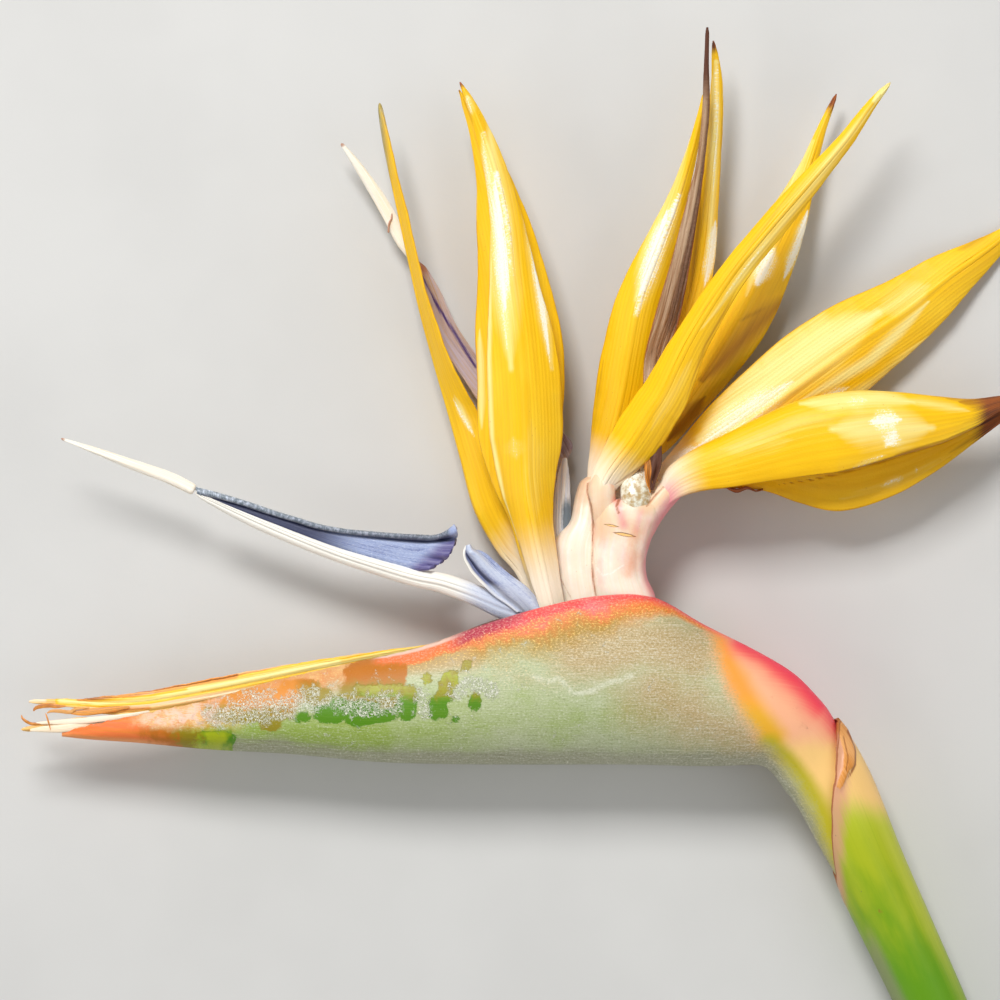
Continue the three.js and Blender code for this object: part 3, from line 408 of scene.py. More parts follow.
# Thin brown creases, written the same way
CREASES = {
    "sepal_a2": [([(519, 540), (524, 563), (531, 585), (539, 600)], 5, 0.85)],
    "sepal_c1": [
        ([(592, 450), (603, 439), (616, 424)], 5, 0.9),
        ([(612, 485), (624, 478), (644, 464), (657, 455)], 5, 0.95),
    ],
    "sepal_c2": [([(757, 347), (820, 304), (905, 261)], 5, 0.8)],
    "sepal_c3": [
        ([(770, 486), (810, 480), (840, 473), (880, 462), (915, 450), (945, 441), (975, 427),
          (1000, 413)], 6, 0.95),
    ],
}

# A grey-green streak at a tip, written the same way
OLIVE = {"sepal_a1": [([(378, 103), (384, 140), (391, 190)], 8, 0.9)]}

# Rusty tips: the share of the length where rust starts, and its strength
RUST = {
    "sepal_a1": (0.985, 0.3), "sepal_a2": (0.955, 0.8), "sepal_a3": (0.97, 0.6), "sepal_b1": (0.97, 0.5),
    "sepal_b2": (0.93, 0.9), "sepal_b3": (0.9, 1), "sepal_c1": (0.995, 0.2), "sepal_c2": (0.98, 0.4),
    "sepal_c3": (0.74, 1.5),
}

# Length of the cream foot of each sepal in mm, and its pinkness
FOOT = {
    "sepal_a1": (17, 0), "sepal_a2": (19, 0.1), "sepal_a3": (14, 0), "sepal_b1": (11, 0.35),
    "sepal_b2": (8, 0.2), "sepal_b3": (8, 0.2), "sepal_c1": (13, 0.5), "sepal_c2": (13, 0.3),
    "sepal_c3": (15, 1),
}

# The skin of the spathe: photograph x, and how deep in mm below the rim the pink and the gold reach
RIM_BANDS = [
    (60, 0, 11), (150, 0, 8), (205, 0, 6), (300, 0, 4.8), (340, 0, 3.4), (385, 1.4, 3.6),
    (415, 2.4, 4.2), (450, 2.4, 5.2), (500, 2.6, 7.8), (550, 2.2, 9), (600, 2.6, 8.4), (640, 1.8, 5),
    (675, 0.6, 1.6), (712, 0.4, 0.9), (900, 0.4, 0.9),
]

# Where the wax is rubbed off: pixels of the middle and half sizes of rounded boxes
GREEN_PATCHES = [
    (408, 702, 11, 17), (427, 678, 5, 7), (450, 679, 10, 10), (439, 706, 10, 13), (331, 713, 15, 10),
    (340, 703, 9, 8), (304, 716, 8, 6), (362, 712, 20, 13), (215, 740, 21, 10), (475, 700, 7, 9),
    (467, 664, 5, 5), (456, 718, 4, 3), (386, 714, 12, 7), (446, 692, 8, 11), (386, 690, 33, 7),
]

OCHRE_PATCHES = [
    (376, 675, 32, 21), (370, 694, 33, 14), (319, 695, 14, 9), (250, 704, 50, 18), (271, 721, 12, 9),
    (300, 690, 22, 12),
]

# The torn wax round them, two hazes and the frosted crest: pixels, half width, strength
LACE = [
    ([(208, 714), (250, 714), (290, 704), (312, 697)], 19, 1),
    ([(345, 703), (375, 704), (397, 700)], 19, 1), ([(421, 690), (424, 710)], 13, 1),
    ([(456, 690), (470, 682), (490, 690)], 16, 0.9), ([(310, 707), (330, 700)], 12, 0.8),
    ([(232, 703), (270, 697)], 18, 0.7),
]

GREEN_HAZE = [
    ([(250, 735), (380, 735)], 40, 1), ([(200, 730), (260, 740)], 26, 1.1),
    ([(370, 733), (440, 730)], 60, 0.6), ([(430, 728), (560, 718)], 80, 0.42),
    ([(400, 700), (470, 700)], 40, 0.5), ([(560, 715), (660, 706)], 50, 0.45),
]

WARM_HAZE = [
    ([(580, 650), (640, 640), (690, 650)], 55, 1), ([(415, 662), (470, 655)], 26, 0.9),
    ([(300, 690), (345, 684)], 14, 0.9), ([(500, 672), (600, 690)], 18, 0.35),
    ([(650, 690), (760, 745)], 75, 0.75),
]

CREST = [
    ([(533, 675), (548, 680), (558, 676), (565, 684), (575, 692), (590, 690), (600, 684),
      (630, 674)], 7, 1),
]

# The neck: where its colour starts, and the lines of its crimson, orange and yellow-green
NECK_EDGE = [
    (700, 600), (710, 628), (713, 642), (714, 656), (722, 680), (735, 705), (748, 725), (757, 738),
    (768, 748), (782, 763), (794, 780), (805, 800), (817, 830), (834, 872), (850, 910),
]

CRIMSON = [
    ([(700, 620), (720, 627), (744, 640)], 13, 0.9),
    ([(744, 640), (764, 650), (783, 664), (796, 674)], 28, 1),
    ([(784, 662), (806, 680), (822, 699)], 36, 1), ([(822, 699), (838, 722)], 30, 0.8),
]

AMBER_LINE = [([(716, 636), (724, 662), (740, 692), (756, 716), (770, 734)], 23, 1)]

LIME_LINE = [([(768, 747), (782, 760), (800, 782), (814, 808), (827, 838), (842, 875)], 20, 1)]


def place(pixels):
    """Millimetres of photograph pixels: their distance from the origin's pixel, times the scale."""
    offset = (np.asarray(pixels, float) - ORIGIN_PIXEL) * MM_PER_PIXEL
    return offset * (1, -1)


def fade(value, start, end):
    """Smoothstep: 0 at start, 1 at end, and 3t squared minus 2t cubed between them."""
    t = np.clip((np.asarray(value, float) - start) / (end - start), 0, 1)
    return t * t * (3 - 2 * t)


def wobble(value, seed, octaves=4):
    """Smooth noise from -1 to 1 along a line: sines of doubling pitch with seeded phases."""
    random = np.random.default_rng(seed)
    total = sum(np.sin(value * 2.0 ** k * 1.7 + random.uniform(0, 6.28)) / 1.6 ** k for k in range(octaves))
    return total / 2


def spline(stations, share):
    """Smooth curve through evenly spaced stations: on each span the cubic whose end slopes are
    half the step from the station before to the one after."""
    rows = np.asarray(stations, float)
    at = np.clip(np.asarray(share, float), 0, 1) * (len(rows) - 1)
    span = np.clip(at.astype(int), 0, len(rows) - 2)
    f = (at - span)[..., None]
    before, start = rows[np.maximum(span - 1, 0)], rows[span]
    end, after = rows[span + 1], rows[np.minimum(span + 2, len(rows) - 1)]
    slope_in, slope_out, rise = (end - before) / 2, (after - start) / 2, end - start
    return start + f * (slope_in + f * (3 * rise - 2 * slope_in - slope_out
                                        + f * (slope_in + slope_out - 2 * rise)))


def unit(vectors):
    """Vectors divided by their lengths."""
    return vectors / np.maximum(np.linalg.norm(vectors, axis=-1, keepdims=True), 1e-12)


def axes_along(stations, share):
    """Point, direction of travel, level side to the left and the direction square to both."""
    step = 0.004
    rows = spline(stations, share)
    travel = unit(spline(stations, share + step)[..., :3] - spline(stations, share - step)[..., :3])
    side = unit(np.stack([-travel[..., 1], travel[..., 0], np.zeros_like(travel[..., 0])], -1))
    return rows, travel, side, np.cross(travel, side)


def blade(stations, u, s, point=TIP_SHARE):
    """Middle surface of a blade: the midrib's point, plus half the width times s across the
    turned blade, plus a lift that grows with the distance from the fold. Past the share given as
    the point the half width shrinks by seven tenths, as a smoothstep."""
    rows, _, side, up = axes_along(stations, u)
    roll, bend = np.radians(rows[:, 4]), np.radians(rows[:, 5])
    across = side * np.cos(roll)[:, None] + up * np.sin(roll)[:, None]
    out = up * np.cos(roll)[:, None] - side * np.sin(roll)[:, None]
    lift = (np.hypot(s, FOLD_SOFTNESS) - FOLD_SOFTNESS) / (np.hypot(1, FOLD_SOFTNESS) - FOLD_SOFTNESS)
    width = rows[:, 3] * (1 - 0.7 * fade(u, point, 1.0))
    level = (width * np.cos(bend))[:, None] * s
    raised = (width * np.sin(bend))[:, None] * lift
    return rows[:, None, :3] + across[:, None] * level[..., None] + out[:, None] * raised[..., None]


def boat(stations, u, s):
    """Middle surface of a folded blade: from the keel towards the near margin for s over 0 and the
    far one under 0 by one minus the cosine, swelling up or down by a sine."""
    rows = spline(stations, u)[:, None]
    rise = 1 - np.cos(np.abs(s) * np.pi / 2)
    near = (s > 0)[None, :]
    margin_x = np.where(near, rows[..., 3], rows[..., 5])
    margin_y = np.where(near, rows[..., 4], rows[..., 6])
    x = rows[..., 0] + (margin_x - rows[..., 0]) * rise
    y = rows[..., 1] + (margin_y - rows[..., 1]) * rise
    z = rows[..., 2] + np.sign(s) * rows[..., 7] * np.sin(MARGIN_CURL * np.abs(s))
    return np.stack([x, y, z], -1)


def normals_of(grid):
    """Normals of a grid of points: the cross product of its two finite differences."""
    return unit(np.cross(np.gradient(grid, axis=0), np.gradient(grid, axis=1)))


def streaks(xy, lines, taper=0.0):
    """How close points are to streaks: each is full on its polyline and falls evenly to nothing
    at its half width, by the distance to the nearest stretch. Over the share of the length given
    as the taper the half width shrinks towards each end."""
    cover = np.zeros(xy.shape[:-1])
    for pixels, half_width, strength in lines:
        corners = place(pixels)
        marks = lengths(corners)
        nearest = np.full(xy.shape[:-1], np.inf)
        share = np.zeros(xy.shape[:-1])
        for start, end, before, after in zip(corners[:-1], corners[1:], marks[:-1], marks[1:]):
            run = end - start
            t = np.clip(((xy - start) @ run) / (run @ run), 0, 1)
            distance = np.linalg.norm(xy - start - t[..., None] * run, axis=-1)
            share = np.where(distance < nearest, (before + t * (after - before)) / marks[-1], share)
            nearest = np.minimum(nearest, distance)
        width = half_width * MM_PER_PIXEL
        if taper:
            width = width * np.clip((0.5 - np.abs(share - 0.5)) / taper, 0.1, 1) ** 0.7
        cover = np.maximum(cover, strength * np.clip(1 - nearest / width, 0, 1))
    return cover


def spots(xy, shapes):
    """Signed depth inside rounded boxes in mm, over 0 inside the deepest one: each box is given as
    the pixels of its middle and its two half sizes, and its rounding by a third power."""
    depth = np.full(xy.shape[:-1], -9.0)
    for x, y, wide, tall in shapes:
        offset = np.abs(xy - place((x, y))) / (np.array([wide, tall]) * MM_PER_PIXEL)
        reach = (offset[..., 0] ** 3 + offset[..., 1] ** 3) ** (1 / 3)
        depth = np.maximum(depth, (1 - reach) * min(wide, tall) * MM_PER_PIXEL)
    return depth


def signed_distance(xy, pixels):
    """Distance in mm to a line given in pixels, over 0 on the left of its direction and under 0
    on the right, by the cross product with its nearest stretch."""
    corners = place(pixels)
    nearest = np.full(xy.shape[:-1], np.inf)
    sign = np.ones(xy.shape[:-1])
    for start, end in zip(corners[:-1], corners[1:]):
        run, offset = end - start, xy - start
        t = np.clip((offset @ run) / (run @ run), 0, 1)
        distance = np.linalg.norm(offset - t[..., None] * run, axis=-1)
        side = np.sign(run[0] * offset[..., 1] - run[1] * offset[..., 0])
        sign = np.where(distance < nearest, side, sign)
        nearest = np.minimum(nearest, distance)
    return nearest * sign


def triple(*parts):
    """Three grids of numbers side by side on a last axis."""
    return np.stack(np.broadcast_arrays(*parts), -1).astype(float)


def streak_triple(xy, *tables):
    """How close points are to the streaks of three tables, side by side."""
    return triple(*(streaks(xy, table) for table in tables))


def twice(fields):
    """Each grid of numbers two times over in one list, for the front and the back of a sheet."""
    return {key: np.concatenate([grid.reshape(-1, 3)] * 2) for key, grid in fields.items()}


# Meshes

def quads(rows, columns, start=0, flip=False, wrap=False):
    """Corner numbers of the quads of a grid whose points are numbered row by row."""
    i, j = np.meshgrid(np.arange(rows - 1), np.arange(columns if wrap else columns - 1), indexing="ij")
    near, far = (j + 1) % columns, i + 1
    corners = [i * columns + j, i * columns + near, far * columns + near, far * columns + j]
    faces = np.stack([c.ravel() for c in corners], -1) + start
    return faces[:, ::-1] if flip else faces


def strip(first, second, flip=False):
    """Quads between two lines of point numbers."""
    faces = np.stack([first[:-1], first[1:], second[1:], second[:-1]], -1)
    return faces[:, ::-1] if flip else faces


def put(name, points, faces, material, nodes=(), fields=None):
    """Makes a mesh piece from points in mm and quads or triangles, leaves out points that no face
    uses, hangs it on the root body and hides the CAD nodes that it stands for."""
    mesh = bpy.data.meshes.new(name)
    sizes = np.concatenate([np.full(len(f), f.shape[1]) for f in faces])
    used, corners = np.unique(np.concatenate([f.ravel() for f in faces]), return_inverse=True)
    points = np.asarray(points, float).reshape(-1, 3)
    mesh.vertices.add(len(used))
    mesh.vertices.foreach_set("co", (points[used] * MM).ravel())
    mesh.loops.add(len(corners))
    mesh.loops.foreach_set("vertex_index", corners.ravel().astype(np.int32))
    mesh.polygons.add(len(sizes))
    starts = np.concatenate([[0], np.cumsum(sizes)[:-1]])
    mesh.polygons.foreach_set("loop_start", starts.astype(np.int32))
    mesh.update(calc_edges=True)
    mesh.shade_smooth()
    for key, values in (fields or {}).items():
        flat = np.asarray(values, np.float32).reshape(len(points), 3)[used]
        mesh.attributes.new(key, "FLOAT_VECTOR", "POINT").data.foreach_set("vector", flat.ravel())
    mesh.materials.append(material)
    piece = bpy.data.objects.new(name, mesh)
    bpy.context.scene.collection.objects.link(piece)
    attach(piece, "root")
    if nodes:
        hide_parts(*nodes)
    return piece


def sheet_parts(middle, half, fields, start=0):
    """A closed sheet: the middle surface moved half a thickness either way along its normals,
    and joined all round its edge. The third number of its run tells the upper face."""
    rows, columns = middle.shape[:2]
    normal = normals_of(middle)
    front, back = middle + normal * half[..., None], middle - normal * half[..., None]
    points = np.concatenate([front.reshape(-1, 3), back.reshape(-1, 3)])
    a = np.arange(rows * columns).reshape(rows, columns) + start
    b = a + rows * columns
    faces = np.concatenate([
        quads(rows, columns, start, flip=True), quads(rows, columns, start + rows * columns),
        strip(a[:, 0], b[:, 0], flip=True), strip(a[:, -1], b[:, -1]),
        strip(a[0], b[0]), strip(a[-1], b[-1], flip=True)])
    fields = twice(fields)
    upper = np.where(normal[..., 2] > 0, 1.0, -1.0).ravel()
    fields["run"][:, 2] = np.concatenate([upper, -upper])
    return points, faces, fields


def ribbon(left, right, u, s, height):
    """Points between two smooth lines of pixels, by the share s of the way across, at a height."""
    left, right = spline(place(left), u), spline(place(right), u)
    xy = left[:, None] + (right - left)[:, None] * (s + 0 * u[:, None])[..., None]
    return np.concatenate([xy, np.broadcast_to(height, xy.shape[:2])[..., None]], -1)


def edge_profile(s, middle, edge):
    """Half thickness across a blade: full on the rib, thin near the edge and rounded off at it."""
    body = edge + (middle - edge) * (1 - s * s)
    return body / 2 * np.sqrt(np.clip(1 - np.abs(s) ** 24, 0.02, 1))


def lengths(points):
    """Distance run along a line of points."""
    return np.concatenate([[0], np.cumsum(np.linalg.norm(np.diff(points, axis=0), axis=1))])


def run_along(middle):
    """Distance run along the middle line of a grid, the same all across it."""
    columns = middle.shape[1]
    return np.repeat(lengths(middle[:, columns // 2])[:, None], columns, axis=1)


def dense(count, crowd=0.35):
    """Shares from -1 to 1, closer together near both ends."""
    t = np.linspace(-1, 1, count)
    return (1 - crowd) * t + crowd * np.sin(t * np.pi / 2)


# Shaders

class Field:
    """A number that changes over a surface. Adding, subtracting and multiplying it, also by a plain
    number, and abs() of it each add the Math node that does so."""

    def __init__(self, graph, socket):
        self.graph, self.socket = graph, socket

    def math(self, operation, *values):
        """The result of a Math node on these values."""
        node = self.graph.node("ShaderNodeMath", {"operation": operation}, dict(enumerate(values)))
        return Field(self.graph, node.outputs[0])

    def __add__(self, other):
        return self.math("ADD", self, other)

    __radd__ = __add__

    def __sub__(self, other):
        return self.math("SUBTRACT", self, other)

    def __rsub__(self, other):
        return self.math("SUBTRACT", other, self)

    def __mul__(self, other):
        return self.math("MULTIPLY", self, other)

    __rmul__ = __mul__

    def __abs__(self):
        return self.math("ABSOLUTE", self)

    def most(self, other):
        """The larger of the two."""
        return self.math("MAXIMUM", self, other)

    def sine(self):
        """Its sine, as an angle in radians."""
        return self.math("SINE", self)

    def swing(self, size):
        """A noise made to swing about zero: its distance from one half, times a size."""
        return (self - 0.5) * size

    def fade(self, start, end):
        """Smoothstep from 0 at start to 1 at end, which may be the lower of the two."""
        low, high = min(start, end), max(start, end)
        node = self.graph.node(
            "ShaderNodeMapRange", {"interpolation_type": "SMOOTHSTEP"},
            {"Value": self, "From Min": low, "From Max": high,
             "To Min": 0.0 if start < end else 1.0, "To Max": 1.0 if start < end else 0.0})
        return Field(self.graph, node.outputs[0])


class Graph:
    """The node graph of one material."""

    def __init__(self, name):
        self.material = bpy.data.materials.new(name)
        self.material.use_nodes = True
        self.tree = self.material.node_tree
        self.tree.nodes.clear()

    def node(self, kind, settings=None, sockets=None):
        """A node of a kind: its settings first, then its sockets, each linked or given a value."""
        node = self.tree.nodes.new(kind)
        for key, value in (settings or {}).items():
            setattr(node, key, value)
        for key, value in (sockets or {}).items():
            value = getattr(value, "socket", value)
            if isinstance(value, bpy.types.NodeSocket):
                self.tree.links.new(value, node.inputs[key])
            else:
                node.inputs[key].default_value = value
        return node

    def attribute(self, name):
        """The vector that the points of the mesh store under a name."""
        return self.node("ShaderNodeAttribute", {"attribute_name": name}).outputs["Vector"]

    def place(self):
        """Object coordinates in millimetres."""
        coordinates = self.node("ShaderNodeTexCoord").outputs["Object"]
        return self.stretch(coordinates, (1000, 1000, 1000))

    def split(self, vector):
        """The three numbers of a vector."""
        node = self.node("ShaderNodeSeparateXYZ", sockets={0: vector})
        return [Field(self, output) for output in node.outputs]

    def join(self, *numbers):
        """A vector of three numbers."""
        return self.node("ShaderNodeCombineXYZ", sockets=dict(enumerate(numbers))).outputs[0]

    def stretch(self, vector, factors):
        """A vector with each number multiplied by its own factor."""
        node = self.node("ShaderNodeVectorMath", {"operation": "MULTIPLY"}, {0: vector, 1: factors})
        return node.outputs[0]

    def noise(self, vector, scale=1.0, detail=3.0, roughness=0.55, distortion=0.0):
        """Noise from about 0 to 1 with features one unit over scale wide."""
        node = self.node("ShaderNodeTexNoise", sockets={
            "Vector": vector, "Scale": scale, "Detail": detail, "Roughness": roughness,
            "Distortion": distortion})
        return Field(self, node.outputs[0])

    def drawn(self, vector, factors, detail=3.0, roughness=0.55):
        """Noise that is drawn out along a piece: features one unit over each factor long."""
        return self.noise(self.stretch(vector, factors), 1.0, detail, roughness)

    def cells(self, vector, scale=1.0):
        """Distance to the nearest of scattered points."""
        node = self.node("ShaderNodeTexVoronoi", sockets={"Vector": vector, "Scale": scale})
        return Field(self, node.outputs["Distance"])

    def mix(self, factor, first, second):
        """The first colour where the factor is 0, the second where it is 1, in even parts between."""
        first, second = (
            c if isinstance(c, bpy.types.NodeSocket) else (*c, 1.0) for c in (first, second))
        node = self.node(
            "ShaderNodeMix", {"data_type": "RGBA", "clamp_factor": True},
            {0: factor, 6: first, 7: second})
        return node.outputs[2]

    def surface(self, colour, roughness, height, depth, **constants):
        """Closes the graph with a Principled shader: constants are set on its own sockets."""
        bump = self.node("ShaderNodeBump", sockets={"Height": height, "Distance": depth * MM})
        sockets = {"Base Color": colour, "Roughness": roughness, "Normal": bump.outputs[0]}
        sockets.update({key.replace("_", " "): value for key, value in constants.items()})
        shader = self.node("ShaderNodeBsdfPrincipled", sockets=sockets)
        self.node("ShaderNodeOutputMaterial", sockets={"Surface": shader.outputs[0]})
        return self.material


def srgb(red, green, blue):
    """Linear colour of 8-bit screen values."""
    c = np.array([red, green, blue]) / 255
    return tuple(float(v) for v in np.where(c <= 0.04045, c / 12.92, ((c + 0.055) / 1.055) ** 2.4))


def sepal_material(name, colours):
    """Golden waxy skin: fine veins follow the blade, broad bands are paler or more amber, partly in their
    own tone and partly as painted highlight and painted shade, painted highlights break up into white
    grains, and the foot turns cream and pink."""
    g = Graph(name)
    run = g.attribute("run")
    _, across, _ = g.split(run)
    gloss, shade, rust = g.split(g.attribute("marks"))
    foot, pink, rim = g.split(g.attribute("zones"))
    pale, crease, olive = g.split(g.attribute("paint"))
    long_streak = g.drawn(run, (0.03, 0.9, 3.0), 3.0, 0.6)
    fine_streak = g.drawn(run, (0.08, 4.6, 3.0), 2.0, 0.5)
    drift = g.drawn(run, (0.05, 0.2, 5.0), 2.0)
    grain = g.drawn(run, (2.4, 4.4, 3.0), 2.0, 0.75)
    vein = (across * 8.6 + long_streak * 3.0).sine()
    gold = g.mix(long_streak.fade(0.6, 0.3) * 0.5, colours.gold, colours.gold_deep)
    gold = g.mix(drift.fade(0.45, 0.7) * 0.35, gold, colours.lemon)
    gold = g.mix(vein.fade(0.0, 1.0) * (0.1 + 0.22 * drift), gold, colours.gold_deep)
    # Paler bands: the skin's own paler tone and painted highlight, towards pale gold
    light = (pale + fine_streak.swing(0.45) + long_streak.swing(0.3)).fade(0.1, 0.9)
    gold = g.mix(light * 0.85, gold, colours.pale_gold)
    # Painted shade and shadow, with some of the skin's own amber, towards amber
    dark = (shade + long_streak.swing(0.5) + fine_streak.swing(0.25)).fade(0.12, 0.85)
    gold = g.mix(dark * 0.85, gold, colours.amber)
    gold = g.mix((rim + drift.swing(0.5)).fade(0.45, 1.0) * 0.45, gold, colours.gold_deep)
    # Painted highlight: white grains over a paler gold
    white = (gloss + grain.swing(1.5) + fine_streak.swing(0.9)).fade(0.38, 0.85)
    white = white * gloss.fade(0.04, 0.35) * 0.9
    gold = g.mix(gloss.fade(0.0, 0.8) * 0.5, gold, colours.pale_gold)
    gold = g.mix(white, gold, colours.gloss)
    cream = g.mix((pink + drift.swing(0.4)).fade(0.25, 0.95), colours.cream, colours.pink)
    foot_line = (foot + long_streak.swing(0.3) + fine_streak.swing(0.15)).fade(0.1, 0.9)
    skin = g.mix(foot_line, gold, cream)
    blemish = g.drawn(run, (0.3, 0.8, 7.0), 3.0, 0.65).fade(0.68, 0.78)
    speck = g.cells(g.stretch(run, (0.55, 0.9, 9.0)), 1.0).fade(0.09, 0.04) * drift.fade(0.45, 0.6)
    skin = g.mix(blemish * 0.25 + speck * 0.45, skin, colours.rust)
    edge = (rim + grain.swing(0.2)).fade(0.88, 1.0) * long_streak.fade(0.4, 0.55)
    skin = g.mix(edge * 0.5, skin, colours.rust)
    rusty = (rust * 1.3 + fine_streak.swing(0.6) + grain.swing(0.3)).fade(0.35, 0.95)
    skin = g.mix(rusty, skin, g.mix(fine_streak.fade(0.45, 0.65), colours.rust, colours.bark))
    skin = g.mix((olive + fine_streak.swing(0.5)).fade(0.15, 0.85) * 0.8, skin,
                 g.mix(fine_streak.fade(0.4, 0.6), colours.moss, colours.grey_green))
    line = (crease + grain.swing(0.15) + drift.swing(0.2)).fade(0.5, 0.9)
    skin = g.mix(line * 0.5, skin, colours.rust)
    rough = 0.4 - white * 0.12 + grain * 0.12 + rusty * 0.3
    height = vein * 0.1 + fine_streak * 0.25 + grain * 0.35 + long_streak * 0.25 - line * 0.8
    return g.surface(skin, rough, height, 0.14, Coat_Weight=0.1, Coat_Roughness=0.25,
                     Specular_IOR_Level=0.3)


def spathe_material(name, colours):
    """Grey-green skin under a coat of wax: pink and gold bands follow the rim, green and ochre
    patches show where the wax is rubbed off, and the neck glows peach, crimson and lime."""
    g = Graph(name)
    x, y, _ = g.split(g.place())
    run = g.attribute("run")
    _, from_keel, side = g.split(run)
    band, neck, inside = g.split(g.attribute("marks"))
    green, ochre, lace = g.split(g.attribute("zones"))
    warm, haze, crest = g.split(g.attribute("paint"))
    crimson, amber, lime = g.split(g.attribute("flush"))
    spot = g.join(x, y, side * 4.0)
    streak = g.drawn(run, (0.03, 2.2, 2.0), 4.0, 0.65)
    hair = g.drawn(run, (0.3, 6.5, 2.0), 3.0, 0.65)
    cloud = g.noise(spot, 0.17, 4.0, 0.6)
    grain = g.drawn(spot, (2.0, 3.0, 1.0), 3.0, 0.8)
    ragged = g.noise(spot, 0.5, 4.0, 0.65, 0.6)
    web = abs(g.noise(spot, 2.0, 3.0, 0.65, 0.7) * 2.0 - 1.0)
    coat = g.mix((haze + cloud.swing(0.8) + streak.swing(0.4)).fade(0.1, 0.85),
                 colours.grey_wax, colours.sage)
    tan = (warm + cloud.swing(0.5) + grain.swing(0.5)).fade(0.1, 0.85)
    coat = g.mix(tan * 0.9, coat, colours.taupe)
    low = (from_keel + streak.swing(4.0) + cloud.swing(3.0)).fade(4.2, 1.4)
    coat = g.mix(low * 0.85, coat, colours.grey_green)
    coat = g.mix((hair * 0.7 + streak * 0.4).fade(0.52, 0.74) * 0.25, coat, colours.wax)
    coat = g.mix((hair * 0.5 + streak * 0.6).fade(0.5, 0.32) * (0.25 + low * 0.3), coat, colours.moss)
    dust = (grain + hair.swing(0.3) + warm * 0.06).fade(0.52, 0.7)
    coat = g.mix(dust * 0.5, coat, colours.wax)
    coat = g.mix((grain + hair.swing(0.3)).fade(0.46, 0.32) * 0.5, coat, colours.moss)
    rime = (crest + ragged.swing(1.2) + grain.swing(0.8)).fade(0.4, 0.95)
    coat = g.mix(rime * 0.45, coat, colours.wax)
    spread = band + cloud.swing(1.1) + ragged.swing(0.7) + grain.swing(0.6)
    west = (x + cloud.swing(10.0)).fade(-40.0, -50.0)
    gold = g.mix((x + cloud.swing(16.0)).fade(0.0, 12.0), colours.olive_gold, colours.orange)
    gold = g.mix(spread.fade(1.7, 1.0) * 0.9, gold, colours.coral)
    gold = g.mix(grain.fade(0.48, 0.34) * 0.7, gold, colours.olive)
    gold = g.mix(west, gold, g.mix(cloud.fade(0.35, 0.62), colours.peach, colours.orange))
    beige = (x + cloud.swing(8.0)).fade(-43.0, -38.0) * (x + cloud.swing(8.0)).fade(-24.0, -28.0)
    gold = g.mix(beige * spread.fade(1.0, 1.4), gold, colours.taupe)
    gold = g.mix(grain.fade(0.54, 0.62) * 0.8, gold, colours.straw)
    skin = g.mix(spread.fade(2.5, 1.3) * (0.95 - west * 0.2), coat, gold)
    sand = grain.fade(0.56, 0.66) * spread.fade(4.0, 1.8) * (x + 36.0).fade(0.0, 10.0)
    skin = g.mix(sand * 0.6, skin, colours.straw)
    edge = ragged.swing(2.0) + grain.swing(1.2)
    east = (x + 38.4 + grain.swing(0.3)).fade(0.1, -0.1)
    ochre_tone = g.mix(
        (ragged * 0.8 - y * 0.25 + 0.45).fade(0.1, 0.9), colours.orange_brown, colours.olive)
    gingery = (x + 60.0 + ragged.swing(6.0)).fade(2.0, -2.0)
    gingery = gingery * (y + 3.5 + ragged.swing(6.0)).fade(-1.5, 1.5)
    ochre_tone = g.mix(gingery, ochre_tone, colours.ginger)
    skin = g.mix((ochre + edge).fade(-0.2, 0.3) * 0.92 * east, skin, ochre_tone)
    leafy = g.mix(ragged.fade(0.2, 0.6) * 0.9, colours.lime, colours.olive)
    leafy = g.mix((y + 1.2 + ragged.swing(4.0)).fade(-1.4, 1.4), colours.deep_green, leafy)
    leafy = g.mix(streak.fade(0.5, 0.7) * 0.2, leafy, colours.sage)
    bare = (green + edge).fade(-0.05, 0.16)
    skin = g.mix(bare * 0.95, skin, leafy)
    lacy = (lace + ragged.swing(2.4) + cloud.swing(1.2)).fade(0.3, 0.65)
    network = web.fade(0.13, 0.04).most((grain + lace * 0.1).fade(0.66, 0.74)) * lacy
    skin = g.mix(network, skin, colours.wax)
    tip = x + ragged.swing(10.0) + cloud.swing(10.0)
    lower = (y + 7.6 + ragged.swing(2.0) + (tip + 90.0) * 0.03).fade(0.8, -0.8)
    earthy = g.mix((tip + 84.5).fade(-1.5, 1.5), colours.orange_brown, colours.olive)
    mossy = g.mix(cloud.fade(0.4, 0.6), colours.deep_green, colours.lime)
    earthy = g.mix((tip + 80.0).fade(-1.0, 1.5), earthy, mossy)
    skin = g.mix(lower * (x + 73.4).fade(0.15, -0.15) * (from_keel + 0.3).fade(0.0, 0.2), skin, earthy)
    coral = g.mix(streak.fade(0.35, 0.7), colours.coral, colours.orange)
    coral = g.mix((from_keel - 0.3).fade(0.9, 0.0) * 0.5, coral, colours.peach)
    skin = g.mix((tip + (y + 9.0) * 0.8).fade(-87.0, -94.0), skin, coral)
